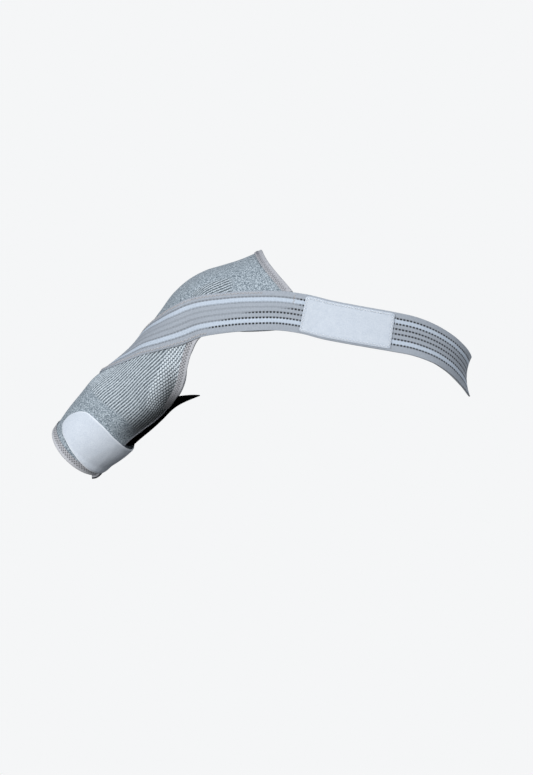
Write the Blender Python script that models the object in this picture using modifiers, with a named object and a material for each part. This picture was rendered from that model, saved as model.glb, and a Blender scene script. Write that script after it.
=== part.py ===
"""Knitted shoulder brace in its worn form.

A sheet of thick knit wraps the upper arm and the shoulder and is closed along the underarm by a
dark insert.  One elastic strap runs from the back of the arm over the front of the shoulder,
round the chest and back to the rear corner of the knit.

Frame: +X to the wearer's left, +Y to the wearer's back, +Z up.  The origin lies where the top
of the shoulder carries the brace.  All sizes below are millimetres; meshes are made in metres.
"""
import math

import bpy
import numpy as np
from mathutils import Vector
from mathutils.bvhtree import BVHTree

MM = 0.001

# Driving sizes
KNIT_THICKNESS = 2.0
PANEL_THICKNESS = 1.4
TAPE_THICKNESS = 0.8
TAPE_WIDTH = 9.5
STRAP_WIDTH = 52.8
STRAP_THICKNESS = 1.8
PATCH_LENGTH = 121.0
PATCH_WIDTH = 47.6
VELOUR_THICKNESS = 1.5
GAP = 0.4
TAPE_STAND = 0.5
STRAP_STAND = 0.6
TAB_STAND = 0.55
EDGE_COVER = 1.4
TAPE_SLANT = 0.88
SHARP_ANGLE = math.radians(50.0)

# Sections of the sleeve from the cuff to the neck point.
# ridge: point on the outer line of arm and shoulder.  edge: point on the front edge of the knit.
# reach: half length of the section from ridge to underside.  depth: half size front to back.
# mid_y: how far back the section lies.  tilt: how far its front hangs towards the cuff.
# bow: how far it is hollowed towards the cuff.  back_angle: where the rear edge stops, degrees.
# fullness: how much its front swells past a plain ellipse, as a share of the depth.
SECTION_COLUMNS = ("ridge_x", "ridge_z", "edge_x", "edge_z",
                   "reach", "depth", "mid_y", "tilt", "bow", "back_angle", "fullness")
SECTIONS = np.array((
    (-216.9, -213.9, -155.0, -275.0, 43.3, 42.0, 42.0, 18.0, 0.0, 150.0, 0.0),
    (-199.5, -189.0, -136.0, -254.5, 49.5, 46.0, 33.0, 15.0, 0.0, 150.0, 0.0),
    (-181.0, -166.5, -115.5, -232.5, 52.0, 49.0, 26.0, 14.0, 0.0, 150.0, 0.0),
    (-162.5, -145.0, -96.0, -217.0, 54.0, 51.0, 20.0, 13.0, 0.0, 150.0, 0.0),
    (-138.5, -128.0, -78.5, -204.0, 52.0, 52.0, 15.0, 12.0, 0.0, 150.0, 0.0),
    (-110.5, -104.5, -62.5, -188.0, 50.5, 54.0, 9.5, 10.0, 0.0, 146.0, 0.04),
    (-89.0, -77.5, -46.5, -166.5, 58.0, 57.0, 6.0, 7.0, 0.0, 122.0, 0.08),
    (-72.0, -55.0, -39.5, -150.5, 65.0, 60.0, 4.0, 4.0, 0.0, 107.0, 0.11),
    (-55.5, -32.5, -35.0, -130.5, 71.0, 63.0, 3.0, 2.0, 0.0, 99.0, 0.12),
    (-34.5, -13.5, -30.0, -113.5, 75.0, 66.0, 2.5, 0.0, 0.0, 95.0, 0.12),
    (-11.5, -1.0, -18.5, -93.0, 82.0, 72.0, 2.0, 0.0, 0.5, 91.0, 0.09),
    (11.0, 6.0, 12.0, -73.5, 90.0, 79.0, 2.0, 0.0, 1.0, 82.0, 0.05),
    (35.0, 13.5, 49.0, -62.5, 100.0, 88.0, 2.0, 0.0, 2.2, 76.0, 0.02),
    (63.5, 25.5, 114.0, -46.0, 110.0, 94.0, 2.0, 0.0, 3.4, 77.0, 0.0),
))
LAST_SECTION = len(SECTIONS) - 1
SECTION_STEP = 0.1
ANGLE_STEP = 0.01

# The worn form as straps and tapes are laid on it: how far past cuff and neck, and round the chest
FORM_BELOW_CUFF = 0.1
FORM_PAST_NECK = 1.6
FORM_ROWS = 293
FORM_COLUMNS = 241
CHEST_SPREAD = math.radians(32.0)
CHEST_FROM = 9.0
CHEST_FULL = 11.0
WHOLE_UP_TO = 2.6
OPEN_FROM = 3.4


def spline(rows, u):
    """Smooth curve through evenly numbered rows (Catmull-Rom), read at the row numbers u."""
    rows = np.asarray(rows, dtype=float)
    u = np.clip(np.asarray(u, dtype=float), 0.0, len(rows) - 1.0)
    first = np.minimum(u.astype(int), len(rows) - 2)
    t = (u - first)[..., None]
    before = 2.0 * rows[0] - rows[1]
    after = 2.0 * rows[-1] - rows[-2]
    padded = np.vstack((before, rows, after))
    p0, p1, p2, p3 = (padded[first + step] for step in range(4))
    return p1 + 0.5 * t * (p2 - p0 + t * (2 * p0 - 5 * p1 + 4 * p2 - p3 + t * (3 * (p1 - p2) + p3 - p0)))


def sections_at(u):
    """Section values at row numbers u, by column name."""
    values = spline(SECTIONS, u)
    return {name: values[..., column] for column, name in enumerate(SECTION_COLUMNS)}


def front_angle(section):
    """Angle from the ridge at which the section reaches the front edge of the knit."""
    reach, tilt = section["reach"], section["tilt"]
    span = np.hypot(section["edge_x"] - section["ridge_x"], section["edge_z"] - section["ridge_z"])
    a = reach ** 2 - tilt ** 2
    c = reach ** 2 + tilt ** 2 - span ** 2
    cosine = (reach ** 2 - np.sqrt(np.maximum(reach ** 4 - a * c, 0.0))) / a
    return np.arccos(np.clip(cosine, -1.0, 1.0))


def sleeve_point(u, angle):
    """Outer face of the sleeve: a full ellipse per section, angle 0 on the ridge, positive in front."""
    section = sections_at(u)
    front = front_angle(section)
    along = section["reach"] * (1.0 - np.cos(front))
    aside = section["tilt"] * np.sin(front)
    edge_x = section["edge_x"] - section["ridge_x"]
    edge_z = section["edge_z"] - section["ridge_z"]
    span = np.hypot(along, aside)
    turn = np.arctan2(edge_z, edge_x) + np.arctan2(aside, along)
    down_x, down_z = np.cos(turn), np.sin(turn)
    cuff_x, cuff_z = down_z, -down_x
    limit = np.where(angle >= 0.0, front, np.radians(section["back_angle"]))
    hollow = section["bow"] * np.sin(np.pi * np.clip(np.abs(angle) / limit, 0.0, 1.0)) ** 2
    reached = section["reach"] * (1.0 - np.cos(angle))
    shifted = section["tilt"] * np.sin(angle) + hollow
    x = section["ridge_x"] + reached * down_x + shifted * cuff_x
    z = section["ridge_z"] + reached * down_z + shifted * cuff_z
    swell = 1.0 + section["fullness"] * np.sin(2.0 * np.clip(angle, 0.0, math.pi / 2.0)) ** 2
    y = section["mid_y"] - section["depth"] * np.sin(angle) * swell
    return np.stack((x, y, z), axis=-1)


def edge_angles(u):
    """Angles of the rear edge and the front edge of the knit at row numbers u, in radians."""
    section = sections_at(u)
    return -np.radians(section["back_angle"]), front_angle(section)


def form_point(u, angle):
    """The sleeve's outer face, carried on in straight lines past the cuff and the neck edge."""
    inside = np.clip(u, 0.0, LAST_SECTION)
    past = np.asarray(u - inside)[..., None]
    inner = inside + np.where(u > inside, -SECTION_STEP, SECTION_STEP)
    at_end = sleeve_point(inside, angle)
    return at_end + np.abs(past) / SECTION_STEP * (at_end - sleeve_point(inner, angle))


def unit(vectors):
    """The same vectors at length one."""
    return vectors / np.linalg.norm(vectors, axis=-1, keepdims=True)


def form_normal(u, angle):
    """Outward direction of the sleeve's face, from its slopes along and round the arm."""
    along = form_point(u + ANGLE_STEP, angle) - form_point(u - ANGLE_STEP, angle)
    around = form_point(u, angle + ANGLE_STEP) - form_point(u, angle - ANGLE_STEP)
    return unit(np.cross(around, along))


def inset_point(u, angle, depth):
    """A point at the given depth under the sleeve's outer face."""
    return form_point(u, angle) - depth * form_normal(u, angle)


def grid_faces(rows, columns, closed=False):
    """Quads of a grid of vertices numbered row by row, first along the columns."""
    last = columns if closed else columns - 1
    quads = []
    for i in range(rows - 1):
        for j in range(last):
            k = (j + 1) % columns
            quads.append((i * columns + j, i * columns + k, (i + 1) * columns + k, (i + 1) * columns + j))
    return quads


def build_form():
    """Fine copy of the worn form that straps and tapes are laid on."""
    u = np.linspace(-FORM_BELOW_CUFF, LAST_SECTION + FORM_PAST_NECK, FORM_ROWS)
    back, front = edge_angles(np.clip(u, 0.0, LAST_SECTION))
    chest = CHEST_SPREAD * np.clip((u - CHEST_FROM) / (CHEST_FULL - CHEST_FROM), 0.0, 1.0)
    whole = np.clip((OPEN_FROM - u) / (OPEN_FROM - WHOLE_UP_TO), 0.0, 1.0)
    low = back - chest - whole * (math.pi + back)
    high = front + chest + whole * (math.pi - front)
    share = np.linspace(0.0, 1.0, FORM_COLUMNS)
    angle = low[:, None] + share[None, :] * (high - low)[:, None]
    points = form_point(np.broadcast_to(u[:, None], angle.shape), angle)
    flat = points.reshape(-1, 3)
    return BVHTree.FromPolygons(flat.tolist(), grid_faces(FORM_ROWS, FORM_COLUMNS))


FORM = build_form()


def laid(points, heights):
    """Points moved to the nearest place on the form and lifted off it by the given heights."""
    flat = np.asarray(points, dtype=float).reshape(-1, 3)
    lift = np.broadcast_to(heights, np.shape(points)[:-1]).reshape(-1)
    result = np.empty_like(flat)
    for i, point in enumerate(flat):
        place, normal, _, _ = FORM.find_nearest(Vector(point))
        result[i] = np.array(place) + lift[i] * np.array(normal)
    return result.reshape(np.shape(points))


def make_material(name, colour, roughness):
    """Plain cloth material."""
    material = bpy.data.materials.new(name)
    material.use_nodes = True
    shader = material.node_tree.nodes["Principled BSDF"]
    shader.inputs["Base Color"].default_value = (*colour, 1.0)
    shader.inputs["Roughness"].default_value = roughness
    shader.inputs["Metallic"].default_value = 0.0
    material.diffuse_color = (*colour, 1.0)
    return material


def make_sheet(name, points, faces, thickness, offset, material, collection):
    """Cloth piece: an open sheet of faces with its thickness from a Solidify modifier."""
    mesh = bpy.data.meshes.new(name)
    mesh.from_pydata((np.asarray(points).reshape(-1, 3) * MM).tolist(), [], faces)
    mesh.update()
    mesh.shade_smooth()
    mesh.set_sharp_from_angle(angle=SHARP_ANGLE)
    mesh.materials.append(material)
    piece = bpy.data.objects.new(name, mesh)
    collection.objects.link(piece)
    shell = piece.modifiers.new("thickness", "SOLIDIFY")
    shell.thickness = thickness * MM
    shell.offset = offset
    return piece


# The sleeve: rows along the arm, columns round it
CLOSED_ROWS = 6
CLOSED_UP_TO = 1.6
OPEN_ROWS = 31
SLEEVE_COLUMNS = 29
BRIDGE_COLUMNS = 4


def sleeve_rows():
    """Row numbers of the sleeve's rings, from the cuff to the neck edge."""
    closed = np.linspace(0.0, CLOSED_UP_TO, CLOSED_ROWS)
    opened = np.linspace(CLOSED_UP_TO, LAST_SECTION, OPEN_ROWS)
    return np.concatenate((closed, opened[1:]))


def sleeve_angles(u):
    """Angles of the sleeve's columns; the last ones bridge the underarm."""
    back, front = edge_angles(u)
    share = np.linspace(0.0, 1.0, SLEEVE_COLUMNS)
    sheet = back[:, None] + share * (front - back)[:, None]
    share = np.linspace(0.0, 1.0, BRIDGE_COLUMNS + 1)[1:-1]
    bridge = front[:, None] + share * (2.0 * math.pi + back - front)[:, None]
    return np.concatenate((sheet, bridge), axis=1)


def build_sleeve(material, collection):
    """The knit: closed round the cuff end, open along the underarm above it."""
    u = sleeve_rows()
    angle = sleeve_angles(u)
    points = sleeve_point(np.broadcast_to(u[:, None], angle.shape), angle).reshape(-1, 3)
    columns = angle.shape[1]
    faces = []
    for quad in grid_faces(len(u), columns, closed=True):
        row, column = divmod(quad[0], columns)
        if column < SLEEVE_COLUMNS - 1 or row < CLOSED_ROWS - 1:
            faces.append(quad)
    used = sorted({corner for face in faces for corner in face})
    renumber = {old: new for new, old in enumerate(used)}
    faces = [tuple(renumber[corner] for corner in face) for face in faces]
    return make_sheet("knit_sleeve", points[used], faces, KNIT_THICKNESS, -1.0, material, collection)


# The underarm insert: from under the tab to the pointed corner behind the armpit
PANEL_ROWS = 14
PANEL_COLUMNS = 11
PANEL_START = 1.72
PANEL_END = 5.75
PANEL_REAR_DROP = 0.55
PANEL_FLARE_FROM = 0.54
PANEL_FLARE_POWER = 1.8
PANEL_TIP = (-19.2, 6.0, -170.0)
PANEL_OVERLAP = math.radians(9.0)
EDGE_CLEARANCE = math.radians(6.0)
PANEL_DEPTH = KNIT_THICKNESS + GAP + PANEL_THICKNESS / 2.0


def panel_points():
    """Grid of the insert's middle face; its far end is drawn out to the tip."""
    w = np.linspace(-1.0, 1.0, PANEL_COLUMNS)[None, :]
    reached = np.linspace(0.0, 1.0, PANEL_ROWS)[:, None]
    u = PANEL_START + reached * (PANEL_END - PANEL_START + PANEL_REAR_DROP * np.minimum(w, 0.0))
    back, front = edge_angles(u)
    under = math.pi
    front_side = under - w * (under - front + PANEL_OVERLAP)
    back_side = under - w * (under + back + PANEL_OVERLAP)
    angle = np.where(w > 0.0, front_side, back_side)
    base = inset_point(u, angle, PANEL_DEPTH)
    pull = np.clip((reached - PANEL_FLARE_FROM) / (1.0 - PANEL_FLARE_FROM), 0.0, 1.0) ** PANEL_FLARE_POWER
    hidden = PANEL_OVERLAP + EDGE_CLEARANCE
    free = np.where(w > 0.0, under - front - EDGE_CLEARANCE, under + back - EDGE_CLEARANCE)
    share = np.clip(np.abs(w) * (free + hidden) / free, 0.0, 1.0)
    drawn = np.array(PANEL_TIP) - base[-1, PANEL_COLUMNS // 2]
    return base + (pull * (1.0 - share ** 2))[..., None] * drawn


def build_panel(material, collection):
    """The dark insert in the underarm."""
    faces = [quad[::-1] for quad in grid_faces(PANEL_ROWS, PANEL_COLUMNS)]
    return make_sheet("underarm_panel", panel_points(), faces, PANEL_THICKNESS, 0.0, material, collection)


# Folded tapes on the knit's edges
def tape_profile(inner_leaf):
    """Middle line of the tape across the edge: distance into the knit and height off its face."""
    stand = TAPE_STAND + TAPE_THICKNESS / 2.0
    profile = [(TAPE_WIDTH, stand), (TAPE_WIDTH / 2.0, stand), (-stand, stand)]
    if inner_leaf:
        low = -KNIT_THICKNESS - stand
        profile += [(-stand, low), (inner_leaf / 2.0, low), (inner_leaf, low)]
    else:
        profile += [(-stand, -EDGE_COVER)]
    return profile


def tape_points(u, angle, inner_leaf, closed=False, slanted=False):
    """Grid of a tape along the edge through (u, angle); the knit lies left of its run.

    A slanted tape ends at its last station on the fold and soon after the one before on the knit.
    """
    edge = form_point(u, angle)
    normal = form_normal(u, angle)
    if closed:
        run = unit(np.roll(edge, -1, axis=0) - np.roll(edge, 1, axis=0))
    else:
        run = unit(np.gradient(edge, axis=0))
    into = unit(np.cross(normal, run))
    profile = tape_profile(inner_leaf)
    lines = []
    for distance, height in profile:
        flat = edge + distance * into
        if distance > 0.0:
            lines.append(laid(flat, height))
        else:
            lines.append(flat + height * normal)
    points = np.stack(lines, axis=1)
    if slanted:
        inward = np.maximum([distance for distance, _ in profile], 0.0) / TAPE_WIDTH
        points[-1] -= (TAPE_SLANT * inward)[:, None] * (points[-1] - points[-2])
    return points


def build_tape(name, u, angle, inner_leaf, material, collection, closed=False, slanted=False):
    """One edge tape as a folded sheet."""
    points = tape_points(u, angle, inner_leaf, closed, slanted)
    stations, across = points.shape[:2]
    if closed:
        points = points.transpose(1, 0, 2)
        faces = grid_faces(across, stations, closed=True)
    else:
        faces = [quad[::-1] for quad in grid_faces(stations, across)]
    return make_sheet(name, points, faces, TAPE_THICKNESS, 0.0, material, collection)


# The strap's middle line over the knit, from its sewn end at the back of the arm to the chest
STRAP_ON_ARM = np.array((
    # section, angle, widening where it is sewn on slack, hold by the knit
    (2.78, -90.0, 0.0, 1.0),
    (3.25, -62.0, 0.5, 1.0),
    (3.84, -33.0, 1.0, 1.0),
    (4.28, -8.0, 2.0, 1.0),
    (4.93, 12.5, 3.0, 1.0),
    (5.75, 32.7, 3.5, 1.0),
    (6.73, 51.1, 4.0, 0.8),
    (8.0, 67.2, 4.0, 0.6),
    (9.2, 75.8, 3.8, 0.5),
    (10.3, 76.8, 3.2, 0.4),
    (11.3, 74.4, 2.5, 0.4),
    (12.0, 74.2, 2.0, 0.5),
))
# Its run round the body, front half: middle line, how far its top leans in, how far it is cupped
STRAP_ROUND_FRONT = np.array((
    # x, y, z, lean in degrees, cup
    (87.0, -88.0, -57.9, 10.0, 0.0),
    (119.0, -96.0, -62.3, 9.0, 0.0),
    (150.0, -101.0, -70.0, 8.0, 0.0),
    (178.0, -103.0, -75.5, 8.0, 0.0),
    (209.0, -102.0, -81.0, 8.0, 0.0),
    (238.0, -98.0, -86.0, 9.0, 0.0),
    (267.0, -90.0, -92.0, 12.0, 0.0),
    (294.0, -77.0, -102.0, 13.0, 0.0),
    (315.5, -60.0, -114.5, 9.0, 0.0),
    (330.0, -42.0, -126.5, 3.0, 1.0),
    (340.0, -22.0, -137.0, -1.0, 3.0),
    (345.3, 0.0, -145.0, -1.0, 5.0),
))
STRAP_MIDDLE = STRAP_STAND + STRAP_THICKNESS / 2.0
ROUTE_STEPS = 1500
HOLD_AT_FRONT = (0.7, 0.4)
HOLD_AT_BACK = (0.5, 1.0, 1.0)
BACK_WIDER = 0.08
BACK_HIGHER = 0.042
# Its last stretch, over the rear corner of the knit to its sewn end
STRAP_BACK_END = np.array((
    # section, angle, widening, hold
    (12.3, -75.0, 0.0, 1.0),
    (11.8, -73.0, 0.0, 1.0),
    (11.2, -71.0, 0.0, 1.0),
))
KNIT_STEP = 8.0
FREE_STEP = 15.0
STRAP_COLUMNS = 9
CHEST_FRONT_Y = -60.0
PATCH_START_X = 118.5
PATCH_ROWS = 13
PATCH_COLUMNS = 5


def strap_route():
    """Rows along the strap's middle line: place, lean, cup, widening, hold, and the length so far."""
    on_arm = inset_point(STRAP_ON_ARM[:, 0], np.radians(STRAP_ON_ARM[:, 1]), -STRAP_MIDDLE)
    at_back = inset_point(STRAP_BACK_END[:, 0], np.radians(STRAP_BACK_END[:, 1]), -STRAP_MIDDLE)
    front = STRAP_ROUND_FRONT
    back = front[-2::-1].copy()
    back[:, 0] += BACK_WIDER * np.abs(back[:, 1])
    back[:, 2] += BACK_HIGHER * np.abs(back[:, 1])
    back[:, 1] *= -1.0
    places = np.vstack((on_arm, front[:, :3], back[:, :3], at_back))
    steady = np.full(len(on_arm), front[0, 3])
    lean = np.concatenate((steady, front[:, 3], back[:, 3], steady[:len(at_back)]))
    cup = np.concatenate((0.0 * steady, front[:, 4], back[:, 4], 0.0 * steady[:len(at_back)]))
    wider = np.zeros(len(places))
    wider[:len(on_arm)] = STRAP_ON_ARM[:, 2]
    held = np.zeros(len(front) + len(back))
    held[:len(HOLD_AT_FRONT)] = HOLD_AT_FRONT
    held[-len(HOLD_AT_BACK):] = HOLD_AT_BACK
    held = np.concatenate((STRAP_ON_ARM[:, 3], held, STRAP_BACK_END[:, 3]))
    values = np.column_stack((places, lean, cup, wider, held))
    rows = spline(values, np.linspace(0.0, len(places) - 1.0, ROUTE_STEPS))
    steps = np.linalg.norm(np.diff(rows[:, :3], axis=0), axis=1)
    return np.column_stack((rows, np.concatenate(((0.0,), np.cumsum(steps)))))


STRAP_ROUTE = strap_route()


def strap_stations():
    """Lengths along the strap at which it has a row: closer together where it lies on the knit."""
    spacing = np.where(STRAP_ROUTE[:, 6] > 0.0, KNIT_STEP, FREE_STEP)
    count = np.concatenate(((0.0,), np.cumsum(np.diff(STRAP_ROUTE[:, 7]) / spacing[1:])))
    return np.interp(np.linspace(0.0, count[-1], int(count[-1]) + 1), count, STRAP_ROUTE[:, 7])


def strap_frame(lengths):
    """Middle line, directions across and outward, cup, widening and hold at these lengths."""
    rows = np.column_stack([np.interp(lengths, STRAP_ROUTE[:, 7], STRAP_ROUTE[:, k]) for k in range(7)])
    middle, lean, cup, wider = rows[:, :3], np.radians(rows[:, 3]), rows[:, 4], rows[:, 5]
    held = np.clip(rows[:, 6], 0.0, 1.0)[:, None]
    run = unit(np.gradient(middle, axis=0))
    normal = unit(laid(middle, 1.0) - laid(middle, 0.0))
    across_knit = unit(np.cross(normal, run))
    up = np.array((0.0, 0.0, 1.0))
    across_free = unit(up - (run @ up)[:, None] * run)
    inward = np.cross(across_free, run)
    across_free = across_free * np.cos(lean)[:, None] + inward * np.sin(lean)[:, None]
    across = unit(held * across_knit + (1.0 - held) * across_free)
    outward = unit(np.cross(run, across))
    return middle, across, outward, cup, wider, held


def strap_points(lengths, width, columns, lift):
    """Grid across the strap from its lower to its upper edge, lifted off its inner side."""
    middle, across, outward, cup, wider, held = strap_frame(lengths)
    share = np.linspace(-0.5, 0.5, columns)
    spread = middle[:, None, :] + (share[None, :] * (width + wider[:, None]))[..., None] * across[:, None, :]
    raised = lift - STRAP_MIDDLE - cup[:, None] * (1.0 - 4.0 * share ** 2)
    free = spread + raised[..., None] * outward[:, None, :]
    return held[:, None, :] * laid(spread, lift) + (1.0 - held[:, None, :]) * free


def build_strap(material, collection):
    """The elastic strap as one long band."""
    lengths = strap_stations()
    points = strap_points(lengths, STRAP_WIDTH, STRAP_COLUMNS, STRAP_MIDDLE)
    faces = [quad[::-1] for quad in grid_faces(len(lengths), STRAP_COLUMNS)]
    return make_sheet("body_strap", points, faces, STRAP_THICKNESS, 0.0, material, collection)


def build_patch(material, collection):
    """The velour patch on the chest stretch of the strap."""
    in_front = STRAP_ROUTE[STRAP_ROUTE[:, 1] < CHEST_FRONT_Y]
    start = np.interp(PATCH_START_X, in_front[:, 0], in_front[:, 7])
    lengths = np.linspace(start, start + PATCH_LENGTH, PATCH_ROWS)
    lift = STRAP_STAND + STRAP_THICKNESS + GAP + VELOUR_THICKNESS / 2.0
    points = strap_points(lengths, PATCH_WIDTH, PATCH_COLUMNS, lift)
    faces = [quad[::-1] for quad in grid_faces(len(lengths), PATCH_COLUMNS)]
    return make_sheet("strap_patch", points, faces, VELOUR_THICKNESS, 0.0, material, collection)


# The closing tab round the cuff end: its lower and upper edge, by angle round the arm
TAB_EDGES = np.array((
    # angle, lower section, upper section
    (35.0, 0.80, 0.92),
    (37.0, 0.68, 1.22),
    (44.0, 0.59, 1.56),
    (53.0, 0.50, 1.83),
    (65.0, 0.42, 2.00),
    (91.0, 0.26, 2.02),
    (118.0, 0.10, 1.86),
    (146.0, 0.02, 1.72),
    (180.0, 0.02, 1.66),
    (212.0, 0.10, 1.70),
    (240.0, 0.20, 1.72),
))
TAB_ROWS = 30
TAB_COLUMNS = 8
TAB_RISE_FROM = TAPE_WIDTH + 9.0
TAB_RISE_LENGTH = 8.0
TAPE_TOP = TAPE_STAND + TAPE_THICKNESS


def tab_points():
    """Grid of the tab's middle face; it steps up where it runs over the cuff tape."""
    rows = spline(TAB_EDGES, np.linspace(0.0, len(TAB_EDGES) - 1.0, TAB_ROWS))
    share = np.linspace(0.0, 1.0, TAB_COLUMNS)
    u = rows[:, 1:2] + share * (rows[:, 2:3] - rows[:, 1:2])
    angle = np.broadcast_to(np.radians(rows[:, 0:1]), u.shape)
    from_cuff = np.linalg.norm(form_point(u, angle) - form_point(np.zeros_like(u), angle), axis=-1)
    over_tape = np.clip((TAB_RISE_FROM - from_cuff) / TAB_RISE_LENGTH, 0.0, 1.0)
    lift = TAB_STAND + VELOUR_THICKNESS / 2.0 + over_tape * TAPE_TOP
    return form_point(u, angle) + lift[..., None] * form_normal(u, angle)


def build_tab(material, collection):
    """The white closing tab."""
    faces = grid_faces(TAB_ROWS, TAB_COLUMNS)
    return make_sheet("arm_tab", tab_points(), faces, VELOUR_THICKNESS, 0.0, material, collection)


# The free end of the cuff tape: a short curl below the cuff
TAPE_END_ANGLE = math.radians(166.0)
TAPE_END_WIDTH = 6.0
TAPE_END_CURL = np.array((
    # out from the cuff, off its face
    (1.8, 0.0),
    (5.2, -0.6),
    (8.6, -0.8),
    (12.0, 0.6),
))
TAPE_END_ROWS = 7
TAPE_END_COLUMNS = 3


def build_tape_end(material, collection):
    """The small curled end of the cuff tape."""
    cuff = np.zeros(1)
    angle = np.full(1, TAPE_END_ANGLE)
    rim = form_point(cuff, angle)[0]
    normal = form_normal(cuff, angle)[0]
    run = unit(form_point(cuff, angle + ANGLE_STEP)[0] - form_point(cuff, angle - ANGLE_STEP)[0])
    away = np.cross(run, normal)
    curl = spline(TAPE_END_CURL, np.linspace(0.0, len(TAPE_END_CURL) - 1.0, TAPE_END_ROWS))
    across = np.linspace(-0.5, 0.5, TAPE_END_COLUMNS) * TAPE_END_WIDTH
    line = rim + curl[:, 0:1] * away + curl[:, 1:2] * normal
    points = line[:, None, :] + across[None, :, None] * run
    faces = grid_faces(TAPE_END_ROWS, TAPE_END_COLUMNS)
    return make_sheet("cuff_tape_end", points, faces, TAPE_THICKNESS, 0.0, material, collection)


# Where the tapes run: along the front and rear edge from these sections down to the underarm
ARMHOLE_TOP = 9.93
ARMHOLE_END = 5.0
ARMHOLE_CORNER = 10.07
NECK_STOP_FRONT = math.radians(66.8)
NECK_STOP_BACK = math.radians(60.0)
CUFF_LEAF = 7.0
NECK_LEAF = 7.0


def build_tapes(material, collection):
    """The four edge tapes; their folds lie on the sleeve's own rows and columns."""
    rows = sleeve_rows()
    u = rows[(rows > ARMHOLE_END) & (rows < ARMHOLE_TOP)]
    back = edge_angles(u)[0]
    build_tape("armhole_tape_back", u[::-1], back[::-1], 0.0, material, collection)
    u = np.append(u, ARMHOLE_CORNER)
    front = edge_angles(u)[1]
    build_tape("armhole_tape_front", u, front, 0.0, material, collection, slanted=True)
    round_neck = sleeve_angles(rows[-1:])[0, :SLEEVE_COLUMNS]
    round_neck = round_neck[(round_neck > -NECK_STOP_BACK) & (round_neck < NECK_STOP_FRONT)][::-1]
    neck = np.full(len(round_neck), float(LAST_SECTION))
    build_tape("neck_tape", neck, round_neck, NECK_LEAF, material, collection)
    round_cuff = sleeve_angles(rows[:1])[0]
    cuff = np.zeros(len(round_cuff))
    build_tape("cuff_tape", cuff, round_cuff, CUFF_LEAF, material, collection, closed=True)


def main():
    for leftover in list(bpy.data.objects):
        bpy.data.objects.remove(leftover, do_unlink=True)
    collection = bpy.data.collections.new("shoulder_brace")
    bpy.context.scene.collection.children.link(collection)
    knit = make_material("grey melange knit", (0.30, 0.35, 0.39), 0.95)
    dark_knit = make_material("near-black knit", (0.01, 0.01, 0.012), 0.95)
    tape = make_material("grey binding tape", (0.46, 0.46, 0.50), 0.85)
    elastic = make_material("grey striped elastic", (0.40, 0.44, 0.50), 0.80)
    velour = make_material("white velour", (0.66, 0.72, 0.80), 0.95)
    build_sleeve(knit, collection)
    build_panel(dark_knit, collection)
    build_tapes(tape, collection)
    build_strap(elastic, collection)
    build_patch(velour, collection)
    build_tab(velour, collection)
    build_tape_end(tape, collection)


main()
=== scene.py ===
"""Looks of the knitted shoulder brace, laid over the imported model.

Shapes are worked out in millimetres as whole numpy arrays and turned to metres when a mesh is made.
The sleeve is a row of tilted ellipses read with a smooth curve; straps, tapes and stitches are laid
on it by finding the nearest place of that surface.
"""
import math

import bpy
import numpy as np
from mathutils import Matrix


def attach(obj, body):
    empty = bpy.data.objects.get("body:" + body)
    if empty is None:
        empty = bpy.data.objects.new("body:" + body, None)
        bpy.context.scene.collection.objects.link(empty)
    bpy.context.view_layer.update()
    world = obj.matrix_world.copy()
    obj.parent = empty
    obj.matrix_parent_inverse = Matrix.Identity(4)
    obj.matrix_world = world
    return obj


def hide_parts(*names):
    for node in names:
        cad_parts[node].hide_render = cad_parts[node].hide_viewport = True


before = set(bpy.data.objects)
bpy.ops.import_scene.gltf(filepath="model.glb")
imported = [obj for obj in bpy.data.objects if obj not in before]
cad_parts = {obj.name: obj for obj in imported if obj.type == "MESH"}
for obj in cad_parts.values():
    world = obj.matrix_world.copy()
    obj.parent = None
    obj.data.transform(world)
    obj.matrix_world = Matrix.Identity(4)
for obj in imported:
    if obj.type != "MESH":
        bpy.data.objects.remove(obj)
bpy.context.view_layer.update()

MM = 0.001

KNIT_THICKNESS = 2.0
PANEL_THICKNESS = 1.4
TAPE_THICKNESS = 0.8
TAPE_WIDTH = 9.5
STRAP_WIDTH = 52.8
STRAP_THICKNESS = 1.8
PATCH_LENGTH = 121.0
PATCH_WIDTH = 47.6
VELOUR_THICKNESS = 1.5
GAP = 0.4
TAPE_STAND = 0.5
STRAP_STAND = 0.6
TAB_STAND = 0.55
STRAP_MIDDLE = STRAP_STAND + STRAP_THICKNESS / 2.0
TAPE_TOP = TAPE_STAND + TAPE_THICKNESS

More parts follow.
